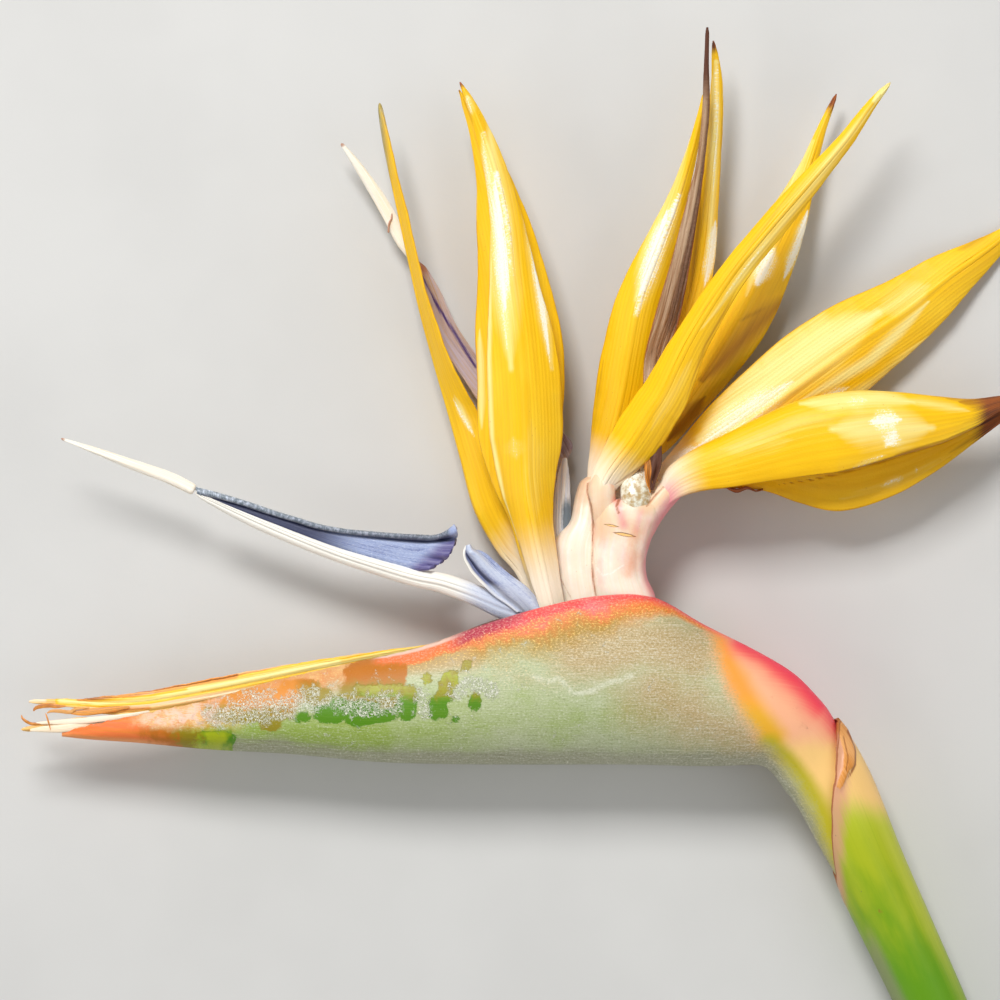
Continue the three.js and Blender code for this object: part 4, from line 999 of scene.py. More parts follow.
    # Whitish pink on the beak: frost of wax and painted glare
    frost_and_glare = (hair * 0.5 + ragged * 0.7).fade(0.5, 0.68)
    frost_and_glare = frost_and_glare * (abs(x + 84.0) - 2.0).fade(9.0, 2.0) * (y + 8.4).fade(0.5, 2.5)
    skin = g.mix(frost_and_glare * 0.75, skin, colours.rose_cream)
    pink = g.mix((cloud + streak.swing(0.5)).fade(0.35, 0.6), colours.rose, colours.red)
    dusk = (x + cloud.swing(16.0) + band * 3.0).fade(-10.0, -20.0)
    pink = g.mix(dusk * 0.85, pink, colours.magenta)
    pale_rim = g.mix(band.fade(0.15, 0.35), colours.rose_cream, colours.coral)
    pink = g.mix((x + 24.0).fade(-2.0, -8.0), pink, pale_rim)
    warm_rim = g.mix(band.fade(0.2, 0.8), colours.red, colours.coral)
    pink = g.mix((x - 2.0).fade(-6.0, 4.0) * 0.75, pink, warm_rim)
    pink = g.mix(grain.fade(0.46, 0.68) * 0.5, pink, colours.rose_cream)
    pinkish = (spread + hair.swing(0.3)).fade(1.3, 0.7) * (x + 45.0).fade(-1.5, 2.0)
    skin = g.mix(pinkish, skin, pink)
    sparkle = (grain - x * 0.002).fade(0.66, 0.74) * band.fade(1.8, 0.5) * (x + 30.0).fade(0.0, 8.0)
    skin = g.mix(sparkle * 0.7, skin, colours.wax)
    glow = g.mix((y + 10.0 + cloud.swing(4.0)).fade(3.0, -3.0), colours.apricot, colours.honey)
    golden = g.mix((y + 2.0 + cloud.swing(3.0)).fade(3.0, -4.0), colours.tangerine, colours.gold_deep)
    glow = g.mix((amber + cloud.swing(0.3)).fade(0.0, 0.85) * 0.9, glow, golden)
    glow = g.mix((y + 19.0 + cloud.swing(4.0)).fade(3.0, -9.0) * 0.8, glow, colours.mustard)
    glow = g.mix((lime + cloud.swing(0.3)).fade(0.0, 0.75) * 0.95, glow, colours.mustard)
    rosy = (crimson + streak.swing(0.25) + cloud.swing(0.2)).fade(0.0, 0.8)
    glow = g.mix(rosy, glow, colours.coral_pink)
    glow = g.mix((crimson + streak.swing(0.2)).fade(0.35, 0.95), glow, colours.crimson)
    border = (neck + grain.swing(4.0) + ragged.swing(1.6) + cloud.swing(2.0)).fade(-2.2, 2.4)
    skin = g.mix(border, skin, glow)
    skin = g.mix(inside, skin, colours.rose_cream)
    rough = 0.5 - bare * 0.18 + network * 0.15 + dust * 0.1 - border * 0.06
    height = streak * 0.3 + hair * 0.25 + grain * (0.5 - border * 0.4) + network * 0.6 - bare * 0.5
    return g.surface(skin, rough, height, 0.12, Coat_Weight=0.08, Coat_Roughness=0.35,
                     Specular_IOR_Level=0.3)


def stem_material(name, colours):
    """Lime green skin that deepens downwards, with a yellow light along the outer side and a grey
    bloom on the inner one. The top of the sheath is peach-yellow, its seam blushes, and its dried
    fold is papery brown."""
    g = Graph(name)
    _, y, _ = g.split(g.place())
    run = g.attribute("run")
    inner, lip, outer = g.split(g.attribute("marks"))
    peach, fold, crease = g.split(g.attribute("zones"))
    line = g.drawn(run, (0.02, 2.4, 1.0), 4.0, 0.6)
    hair = g.drawn(run, (0.1, 7.0, 1.0), 2.0)
    cloud = g.drawn(run, (0.06, 0.25, 1.0), 3.0)
    grain = g.drawn(run, (1.5, 2.8, 1.0), 2.0, 0.7)
    skin = g.mix((y + 45.0 + cloud.swing(30.0)).fade(-16.0, 18.0), colours.leaf, colours.lime)
    skin = g.mix(line.fade(0.42, 0.3) * 0.18, skin, colours.leaf)
    skin = g.mix((outer + line.swing(0.4)).fade(0.1, 0.9) * 0.6, skin, colours.yellow_green)
    bloom = (inner + grain.swing(0.4) + line.swing(0.3)).fade(0.1, 1.0)
    skin = g.mix(bloom * 0.6, skin, colours.mauve_grey)
    top = (peach + cloud.swing(0.5) + line.swing(0.3)).fade(0.0, 0.9)
    skin = g.mix(top, skin, g.mix(peach.fade(0.35, 0.85), colours.spring, colours.honey))
    blush = (lip + cloud.swing(0.4) + line.swing(0.4)).fade(0.2, 0.75)
    skin = g.mix(blush * 0.75, skin, colours.blush)
    dry = (fold + grain.swing(0.15)).fade(0.25, 0.4)
    paper = g.mix((cloud * 0.6 + line * 0.4).fade(0.36, 0.6), colours.ginger, colours.peach)
    skin = g.mix(dry, skin, paper)
    brown = (crease + grain.swing(0.2)).fade(0.5, 0.8).most((lip + grain.swing(0.1)).fade(0.9, 0.98))
    skin = g.mix(brown * 0.8, skin, colours.rust)
    speck = g.cells(g.stretch(run, (0.2, 0.36, 1.0)), 1.0).fade(0.05, 0.025)
    skin = g.mix(speck * 0.6, skin, colours.moss)
    rough = 0.42 + bloom * 0.2 + dry * 0.25
    height = line * 0.15 + hair * 0.15 + grain * 0.2 + dry * hair * 0.6 - brown * 0.5
    return g.surface(skin, rough, height, 0.1, Coat_Weight=0.1, Coat_Roughness=0.3,
                     Specular_IOR_Level=0.35)


def cut_material(name, colours):
    """Moist flesh of the stem, pale and dotted with darker bundles on the cut, green outside."""
    g = Graph(name)
    _, _, radial = g.split(g.attribute("run"))
    spot = g.place()
    dots = g.cells(spot, 0.85).fade(0.3, 0.16)
    flesh = g.mix(g.noise(spot, 0.5, 4.0).fade(0.3, 0.7), colours.flesh, colours.spring)
    flesh = g.mix(dots * 0.55, flesh, colours.leaf)
    skin = g.mix(radial.fade(0.9, 0.99), flesh, colours.lime)
    return g.surface(skin, 0.38 + dots * 0.15, dots * -0.5 + g.noise(spot, 1.8, 3.0) * 0.5, 0.2,
                     Coat_Weight=0.3, Coat_Roughness=0.2)


def base_material(name, colours):
    """Cream columns with fine lengthwise lines, pink on one side, bruised, with a white flaky line
    and two golden cracks with brown lips."""
    g = Graph(name)
    spot = g.place()
    x, y, z = g.split(spot)
    run = g.attribute("run")
    pink, bruise, _ = g.split(g.attribute("marks"))
    tan, line_mark, flake = g.split(g.attribute("zones"))

    def lens(middle_x, middle_y, half_length, half_width):
        """One minus the square of the share of the half length, minus the share of the half width."""
        along = x - middle_x
        share = along * (1 / half_length)
        return 1.0 - share * share - abs(y - middle_y + along * CRACK_SLANT) * (1 / half_width)

    line = g.drawn(run, (0.05, 1.8, 1.0), 4.0, 0.6)
    cloud = g.noise(spot, 0.2, 4.0, 0.6)
    grain = g.noise(spot, 2.4, 3.0, 0.7)
    skin = g.mix(line.fade(0.3, 0.7) * 0.7, colours.cream, colours.ivory)
    skin = g.mix(cloud.fade(0.25, 0.75) * 0.4 + 0.05, skin, colours.rose_cream)
    skin = g.mix((tan + cloud.swing(0.6)).fade(0.1, 0.9) * 0.75, skin, colours.skin_tan)
    skin = g.mix((pink + cloud.swing(0.4) + line.swing(0.2)).fade(0.05, 1.0) * 0.9, skin, colours.pink)
    skin = g.mix((bruise + cloud.swing(0.6) + grain.swing(0.2)).fade(0.15, 0.95) * 0.7, skin,
                 colours.bruise)
    skin = g.mix((flake + grain.swing(0.8)).fade(0.4, 0.75) * 0.6, skin, colours.ivory)
    brown = (line_mark + grain.swing(0.3) + cloud.swing(0.3)).fade(0.45, 0.85)
    skin = g.mix(brown * 0.8, skin, colours.rust)
    long_crack, short_crack = (lens(*crack) for crack in CRACKS)
    split = (long_crack.most(short_crack) + grain.swing(0.5)) * z.fade(11.0, 13.0)
    skin = g.mix(split.fade(0.05, 0.25) * 0.8, skin, colours.rust)
    skin = g.mix(split.fade(0.35, 0.6), skin, colours.honey)
    spots = g.cells(spot, 0.6).fade(0.07, 0.035)
    skin = g.mix(spots * 0.35, skin, colours.rust)
    height = line * 0.3 + grain * 0.2 - split.fade(0.0, 0.5) * 1.2 + cloud * 0.3 - brown * 0.5
    return g.surface(skin, 0.42 + grain * 0.14, height, 0.14, Coat_Weight=0.2, Coat_Roughness=0.3,
                     Subsurface_Weight=0.1, Subsurface_Radius=(0.004, 0.002, 0.001))


def arrow_material(name, colours):
    """Blue blade with a speckled rolled rim over a dark valley of painted shadow, a white shaft whose
    grooves are darkened as painted shade, and a grey-blue foot."""
    g = Graph(name)
    run = g.attribute("run")
    white, valley, edge = g.split(g.attribute("marks"))
    foot, rolled, groove = g.split(g.attribute("zones"))
    line = g.drawn(run, (0.05, 3.2, 2.0), 4.0, 0.6)
    grain = g.drawn(run, (1.6, 3.0, 2.0), 3.0, 0.8)
    cloud = g.drawn(run, (0.12, 0.5, 2.0), 3.0)
    blue = g.mix((line * 0.6 + cloud * 0.5).fade(0.3, 0.62), colours.indigo, colours.slate)
    blue = g.mix(grain.fade(0.45, 0.7) * 0.6, blue, colours.ice)
    blue = g.mix((rolled + cloud.swing(0.5)).fade(0.2, 0.8), blue,
                 g.mix(grain.fade(0.42, 0.66), colours.steel, colours.ice))
    # Painted shadow: the valley under the rolled rim and the far end of the blade darken to midnight blue
    blue = g.mix((valley + grain.swing(0.4) + cloud.swing(0.3)).fade(0.1, 0.9) * 0.92, blue,
                 colours.midnight)
    blue = g.mix((edge + line.swing(0.7) + grain.swing(0.3)).fade(0.2, 0.85) * 0.8, blue,
                 colours.violet)
    band = g.mix(line.fade(0.52, 0.7) * 0.4, colours.ivory, colours.ash)
    # Painted shade in the shaft's two grooves
    band = g.mix((groove + line.swing(0.6)).fade(0.25, 0.85) * 0.75, band, colours.ash)
    skin = g.mix((white + line.swing(0.3)).fade(0.2, 0.8), blue, band)
    # Foot tone, which on the small blue petal also carries its painted highlight
    skin = g.mix((foot + cloud.swing(0.6)).fade(0.2, 0.9) * 0.7, skin,
                 g.mix((line * 0.5 + grain * 0.5).fade(0.3, 0.5), colours.slate, colours.ice))
    height = line * 0.6 + grain * 0.45
    return g.surface(skin, 0.4 + grain * 0.15, height, 0.14, Coat_Weight=0.15, Coat_Roughness=0.3)


def bract_material(name, colours):
    """Dried strips: cream and straw with fine brown lines, cream that partly stands for painted glints of
    light, a yellow band that shines, and a rusty top edge."""
    g = Graph(name)
    run = g.attribute("run")
    yellow, brown, pale = g.split(g.attribute("marks"))
    line = g.drawn(run, (0.02, 2.6, 2.0), 4.0, 0.65)
    grain = g.drawn(run, (0.7, 4.2, 2.0), 3.0, 0.75)
    skin = g.mix(line.fade(0.36, 0.62), colours.peach, colours.straw)
    # Cream along the pale streaks, partly painted glints
    skin = g.mix((pale + line.swing(0.8)).fade(0.2, 0.8), skin, colours.cream)
    shine = g.mix((yellow + line.swing(0.5)).fade(0.35, 0.9), colours.gold, colours.pale_gold)
    skin = g.mix((yellow + line.swing(0.3)).fade(0.05, 0.3), skin, shine)
    rusty = g.mix((line * 0.6 + grain * 0.4).fade(0.4, 0.6), colours.rust, colours.tangerine)
    skin = g.mix((brown + line.swing(0.5) + grain.swing(0.3)).fade(0.2, 0.6) * 0.9, skin, rusty)
    skin = g.mix(line.fade(0.33, 0.27) * 0.6, skin, colours.rust)
    skin = g.mix(grain.fade(0.7, 0.78) * 0.6, skin, colours.ivory)
    return g.surface(skin, 0.42 + grain * 0.16, line * 0.6 + grain * 0.3, 0.16, Coat_Weight=0.15,
                     Coat_Roughness=0.3)


def plain_material(name, colours, first, second, third, lines=(0.05, 2.4), depth=0.16, rough=0.45,
                   coat=0.15):
    """A thin skin in three tones: the first and second change along fine lengthwise lines, and
    the third fills what the marks give it."""
    g = Graph(name)
    tones = [getattr(colours, tone) for tone in (first, second, third)]
    run = g.attribute("run")
    full, half, edge = g.split(g.attribute("marks"))
    line = g.drawn(run, (*lines, 2.0), 4.0, 0.65)
    grain = g.drawn(run, (1.4, 2.8, 2.0), 3.0, 0.75)
    skin = g.mix(line.fade(0.34, 0.66), tones[0], tones[1])
    skin = g.mix((full + line.swing(0.6) + grain.swing(0.3)).fade(0.3, 0.8), skin, tones[2])
    skin = g.mix(half, skin, colours.cream)
    skin = g.mix((edge + grain.swing(0.4)).fade(0.45, 0.85) * 0.8, skin, colours.rust)
    return g.surface(skin, rough + grain * 0.16, line * 0.8 + grain * 0.5, depth, Coat_Weight=coat,
                     Coat_Roughness=0.35, Specular_IOR_Level=0.3)


def bud_material(name, colours):
    """Grey, partly clear stub: smooth below, crystalline on top, fading to pink cream at the foot."""
    g = Graph(name)
    top, foot, _ = g.split(g.attribute("marks"))
    spot = g.place()
    grain = g.noise(spot, 0.9, 3.0, 0.6)
    cells = g.cells(spot, 2.2)
    skin = g.mix(grain.fade(0.35, 0.65), colours.taupe, colours.wax)
    skin = g.mix(foot.fade(0.1, 0.9), skin, colours.skin_tan)
    skin = g.mix(top * cells.fade(0.3, 0.5) * 0.5, skin, colours.ivory)
    skin = g.mix(top * cells.fade(0.2, 0.06) * 0.4, skin, colours.umber)
    return g.surface(skin, 0.25 + grain * 0.15, cells * top + grain * 0.2, 0.35, Coat_Weight=0.5,
                     Coat_Roughness=0.12)


def floor_material():
    """Matte pale ground."""
    g = Graph("floor")
    spot = g.place()
    cloud = g.noise(spot, 0.02, 3.0)
    colour = g.mix(cloud.fade(0.3, 0.7), srgb(204, 203, 200), srgb(209, 208, 205))
    return g.surface(colour, 0.8, g.noise(spot, 0.6, 3.0), 0.02)


def colour_setting(name, red, green, blue):
    """A colour that can be changed in the sidebar."""
    return FloatVectorProperty(
        name=name, description=f"Colour of the {name.lower()} surfaces", subtype="COLOR", size=3,
        min=0.0, max=1.0, default=srgb(red, green, blue))


class FlowerColours(bpy.types.PropertyGroup):
    """Colours of the flower's surfaces."""

    gold: colour_setting("Gold", 252, 198, 6)
    gold_deep: colour_setting("Gold deep", 236, 176, 2)
    lemon: colour_setting("Lemon", 252, 214, 50)
    amber: colour_setting("Amber", 170, 108, 4)
    pale_gold: colour_setting("Pale gold", 253, 236, 150)
    # Colour of the painted highlights on the sepals
    gloss: colour_setting("Gloss", 255, 252, 236)
    cream: colour_setting("Cream", 253, 238, 212)
    ivory: colour_setting("Ivory", 255, 251, 240)
    pink: colour_setting("Pink", 240, 140, 150)
    rust: colour_setting("Rust", 160, 86, 36)
    bark: colour_setting("Bark", 92, 54, 38)
    bruise: colour_setting("Bruise", 232, 150, 92)
    skin_tan: colour_setting("Skin tan", 240, 196, 150)
    grey_green: colour_setting("Grey green", 160, 158, 134)
    mauve_grey: colour_setting("Mauve grey", 150, 142, 120)
    grey_wax: colour_setting("Grey wax", 186, 194, 152)
    sage: colour_setting("Sage", 150, 174, 72)
    taupe: colour_setting("Taupe", 188, 158, 108)
    leaf: colour_setting("Leaf", 98, 152, 6)
    deep_green: colour_setting("Deep green", 80, 136, 0)
    lime: colour_setting("Lime", 172, 184, 24)
    olive: colour_setting("Olive", 150, 132, 10)
    olive_gold: colour_setting("Olive gold", 180, 132, 30)
    orange_brown: colour_setting("Orange brown", 190, 110, 14)
    orange: colour_setting("Orange", 236, 132, 54)
    ginger: colour_setting("Ginger", 222, 140, 50)
    peach: colour_setting("Peach", 244, 180, 112)
    coral: colour_setting("Coral", 246, 122, 66)
    coral_pink: colour_setting("Coral pink", 252, 128, 112)
    red: colour_setting("Red", 244, 76, 76)
    rose: colour_setting("Rose", 240, 110, 112)
    magenta: colour_setting("Magenta", 168, 44, 74)
    apricot: colour_setting("Apricot", 253, 184, 142)
    honey: colour_setting("Honey", 253, 206, 128)
    mustard: colour_setting("Mustard", 188, 176, 24)
    crimson: colour_setting("Crimson", 250, 30, 74)
    spring: colour_setting("Spring", 196, 204, 56)
    yellow_green: colour_setting("Yellow green", 206, 208, 66)
    wax: colour_setting("Wax", 238, 238, 220)
    moss: colour_setting("Moss", 104, 108, 66)
    rose_cream: colour_setting("Rose cream", 244, 206, 186)
    blush: colour_setting("Blush", 214, 146, 128)
    flesh: colour_setting("Flesh", 222, 228, 168)
    indigo: colour_setting("Indigo", 78, 90, 150)
    slate: colour_setting("Slate", 160, 174, 212)
    midnight: colour_setting("Midnight", 28, 30, 68)
    ice: colour_setting("Ice", 214, 222, 236)
    steel: colour_setting("Steel", 112, 124, 134)
    violet: colour_setting("Violet", 78, 56, 122)
    ash: colour_setting("Ash", 180, 174, 164)
    mauve: colour_setting("Mauve", 196, 184, 200)
    fawn: colour_setting("Fawn", 194, 164, 134)
    umber: colour_setting("Umber", 140, 96, 58)
    straw: colour_setting("Straw", 246, 206, 104)
    tangerine: colour_setting("Tangerine", 252, 160, 50)


class FlowerSizes(bpy.types.PropertyGroup):
    """Sizes that can change without moving a piece off its place."""

    sepal_thickness: FloatProperty(
        name="Sepal thickness", description="Thickness of a sepal on its midrib", subtype="DISTANCE",
        unit="LENGTH", default=0.0011, min=0.0004, max=0.0014)
    petal_thickness: FloatProperty(
        name="Petal thickness", description="Thickness of a petal on its midrib", subtype="DISTANCE",
        unit="LENGTH", default=0.0008, min=0.0003, max=0.0012)
    edge_thickness: FloatProperty(
        name="Edge thickness", description="Thickness of sepals and petals near the edge",
        subtype="DISTANCE", unit="LENGTH", default=0.0004, min=0.0002, max=0.0007)
    waviness: FloatProperty(
        name="Waviness", description="How far the edges of the sepals wave", subtype="DISTANCE",
        unit="LENGTH", default=0.0002, min=0.0, max=0.001)
    divisions: IntProperty(
        name="Divisions", description="Sections along a sepal", default=160, min=40, max=300)


def material(name, maker, *values):
    """The material of that name, made once, in the scene's colours."""
    return bpy.data.materials.get(name) or maker(name, bpy.context.scene.flower_colours, *values)


class FLOWER_OT_sepals(bpy.types.Operator):
    """Nine golden sepals, eight open blades and one folded like a boat"""

    bl_idname = "flower.sepals"
    bl_label = "Sepals"

    # Pattern shift from one sepal to the next and half width of the boat's run in mm, and the
    # pixels of the middle line of the dry scrap at its foot
    pattern_step = 137
    boat_half_width = 10.0
    scrap_line = [(720, 480), (728, 488), (737, 491), (747, 488), (756, 491), (763, 489)]

    def execute(self, context):
        sizes = context.scene.flower_sizes
        skin = material("waxy sepal", sepal_material)
        for number, name in enumerate(list(SEPALS) + ["sepal_c3"]):
            self.build(name, number, sizes, skin)
        return {"FINISHED"}

    def build(self, name, number, sizes, skin):
        """The CAD blade or boat with waved edges, a rib raised by a cosine and a thin rounded edge."""
        folded = name not in SEPALS
        stations = BOAT_SEPAL if folded else SEPALS[name]
        u = np.linspace(0, 1, sizes.divisions)
        s = dense(85 if folded else 53)
        middle = boat(stations, u, s) if folded else blade(stations, u, s)
        rows = spline(stations, u)
        width = np.full(len(u), self.boat_half_width) if folded else rows[:, 3]
        along = run_along(middle)
        across = s * width[:, None]
        wave = sizes.waviness / MM * np.abs(s) ** 3 * wobble(along * 0.16 + np.sign(s) * 9, number)
        rib = 0.16 * np.cos(np.pi * np.clip(s / 0.09, -1, 1))
        rib = rib - 0.03 * wobble(across * 1.1 + along * 0.015, number + 40)
        taper = fade(u, 0, 0.08)[:, None] * fade(u, 1, 0.9)[:, None]
        middle = middle + normals_of(middle) * ((wave + rib) * taper)[..., None]
        half = edge_profile(s, sizes.sepal_thickness / MM, sizes.edge_thickness / MM)
        half = half * np.sqrt(np.clip(1 - u ** 60, 0.02, 1))[:, None]
        xy = middle[..., :2]
        start, strength = RUST[name]
        rust = strength * fade(u, start, 1.0)[:, None]
        foot_length, pinkness = FOOT[name]
        foot = np.clip(1.25 - along / foot_length, 0, 1)
        pink_side = fade(s, -0.2, 0.9) if folded else fade(s, 1.2, -0.8)
        pink = pinkness * fade(along, foot_length * 1.3, 0) * pink_side
        # Painted highlights, darker bands of painted shade and amber, paler bands of tone and painted
        # highlight, and creases
        gloss, shade, pale, crease = (
            streaks(xy, table.get(name, []), 0.3) for table in (PAINTED_HIGHLIGHTS, PAINTED_SHADE_AND_AMBER, PALE_TONE_AND_HIGHLIGHT, CREASES))
        olive = streaks(xy, OLIVE.get(name, []))
        points, faces, fields = sheet_parts(middle, half, {
            "run": triple(along + number * self.pattern_step, across, 0),
            "marks": triple(gloss, shade, rust), "zones": triple(foot, pink, np.abs(s) ** 12),
            "paint": triple(pale, crease, olive)})
        if folded:
            scrap_points, scrap_faces, scrap_fields = self.scrap(len(points))
            points = np.concatenate([points, scrap_points])
            faces = np.concatenate([faces, scrap_faces])
            fields = {key: np.concatenate([fields[key], scrap_fields[key]]) for key in fields}
        put(f"{name}_blade", points, [faces], skin, [name], fields)

    def scrap(self, start):
        """A curled scrap of dry skin at the foot of the boat: half a turn of a thin rolled strip,
        whose width changes by the square of a sine."""
        u, s = np.linspace(0, 1, 40), np.linspace(-1, 1, 9)
        line = spline(place(self.scrap_line), u)
        width = 0.25 + 0.5 * np.sin(np.pi * u) ** 2 + 0.12 * wobble(u * 9, 4)
        roll = 0.6 + 1.2 * u
        y = line[:, 1:2] + width[:, None] * s * np.cos(roll)[:, None]
        z = 13.2 - 0.8 * u[:, None] + width[:, None] * (s * np.sin(roll)[:, None] + 0.4 * s * s)
        middle = np.stack([line[:, 0:1] + 0 * s, y, z], -1)
        along = lengths(line)[:, None]
        none = 0 * along * s
        return sheet_parts(middle, np.full(middle.shape[:2], 0.16), {
            "run": triple(along, s + none, 0), "marks": triple(none, 0.3, 0.75),
            "zones": triple(none, 0, 0), "paint": triple(none, 0, 0)}, start)


def column_parts(sections, along, sides, relief):
    """A closed column from level sections: left and right edge, y, middle height and half depth.
    Rings are superellipses, moved out by the relief and drawn in by a quarter circle at the top."""
    u = np.linspace(0, 1, along)
    angle = np.linspace(0, 2 * np.pi, sides, endpoint=False)
    left, right, y, level, depth = spline(sections, u).T
    scale = np.sqrt(np.clip(1 - np.clip((u - 0.9) / 0.1, 0, 1) ** 2, 0.01, 1))
    cosine, sine = np.cos(angle), np.sin(angle)
    distance = lengths(np.stack([(left + right) / 2, y], -1))[:, None]
    moved = relief(angle[None], distance) * scale[:, None]
    half = ((right - left) / 2)[:, None] * scale[:, None] + moved - 0.08
    x = ((left + right) / 2)[:, None] - half * np.sign(cosine) * np.abs(cosine) ** 0.85
    tall = depth[:, None] * scale[:, None] + moved
    z = level[:, None] + tall * np.sign(sine) * np.abs(sine) ** 0.8
    ring = np.stack([x, y[:, None] + 0 * x, z], -1)
    return closed_rings(ring, np.stack([(left + right) / 2, y, level], -1), distance, angle)


def closed_rings(ring, axis, distance, angle):
    """Points, faces and run of a rod from its rings, closed by a fan at each end. The rings turn
    so that their faces look outwards."""
    along, sides = ring.shape[:2]
    points = np.concatenate([ring.reshape(-1, 3), axis[:1], axis[-1:]])
    a, j = np.arange(sides), np.roll(np.arange(sides), -1)
    last = (along - 1) * sides
    fans = np.concatenate([
        np.stack([j, a, np.full(sides, along * sides)], -1),
        np.stack([last + a, last + j, np.full(sides, along * sides + 1)], -1)])
    around = np.cos(angle)[None] * np.linalg.norm(ring[:, :1] - axis[:, None], axis=-1) * 1.5
    run = triple(distance + 0 * around, around, 1).reshape(-1, 3)
    ends = np.array([[distance[0, 0], 0, 0], [distance[-1, 0], 0, 0]])
    return points, [quads(along, sides, wrap=True), fans], {"run": np.concatenate([run, ends])}


def rod_parts(stations, along, sides, start_round=0.0, end_round=0.0, relief=None):
    """A closed rod: rings round the axis, with the radius drawn in by a quarter circle near a
    rounded end, moved out by the relief, and closed by a fan at each end."""
    u = np.linspace(0, 1, along)
    angle = np.linspace(0, 2 * np.pi, sides, endpoint=False)
    rows, _, side, up = axes_along(stations, u)
    scale = np.ones(along)
    if start_round:
        scale *= np.sqrt(np.clip(1 - (1 - np.clip(u / start_round, 0, 1)) ** 2, 0.001, 1))
    if end_round:
        scale *= np.sqrt(np.clip(1 - (1 - np.clip((1 - u) / end_round, 0, 1)) ** 2, 0.001, 1))
    out = (side[:, None] * np.cos(angle)[None, :, None] * (rows[:, 3] * scale)[:, None, None]
           + up[:, None] * np.sin(angle)[None, :, None] * (rows[:, 4] * scale)[:, None, None])
    ring = rows[:, None, :3] + out
    distance = lengths(rows[:, :3])[:, None]
    if relief is not None:
        moved = relief(u[:, None], angle[None, :], distance) * scale[:, None]
        ring = ring + unit(out) * moved[..., None]
    return closed_rings(ring, rows[:, :3], distance, angle)


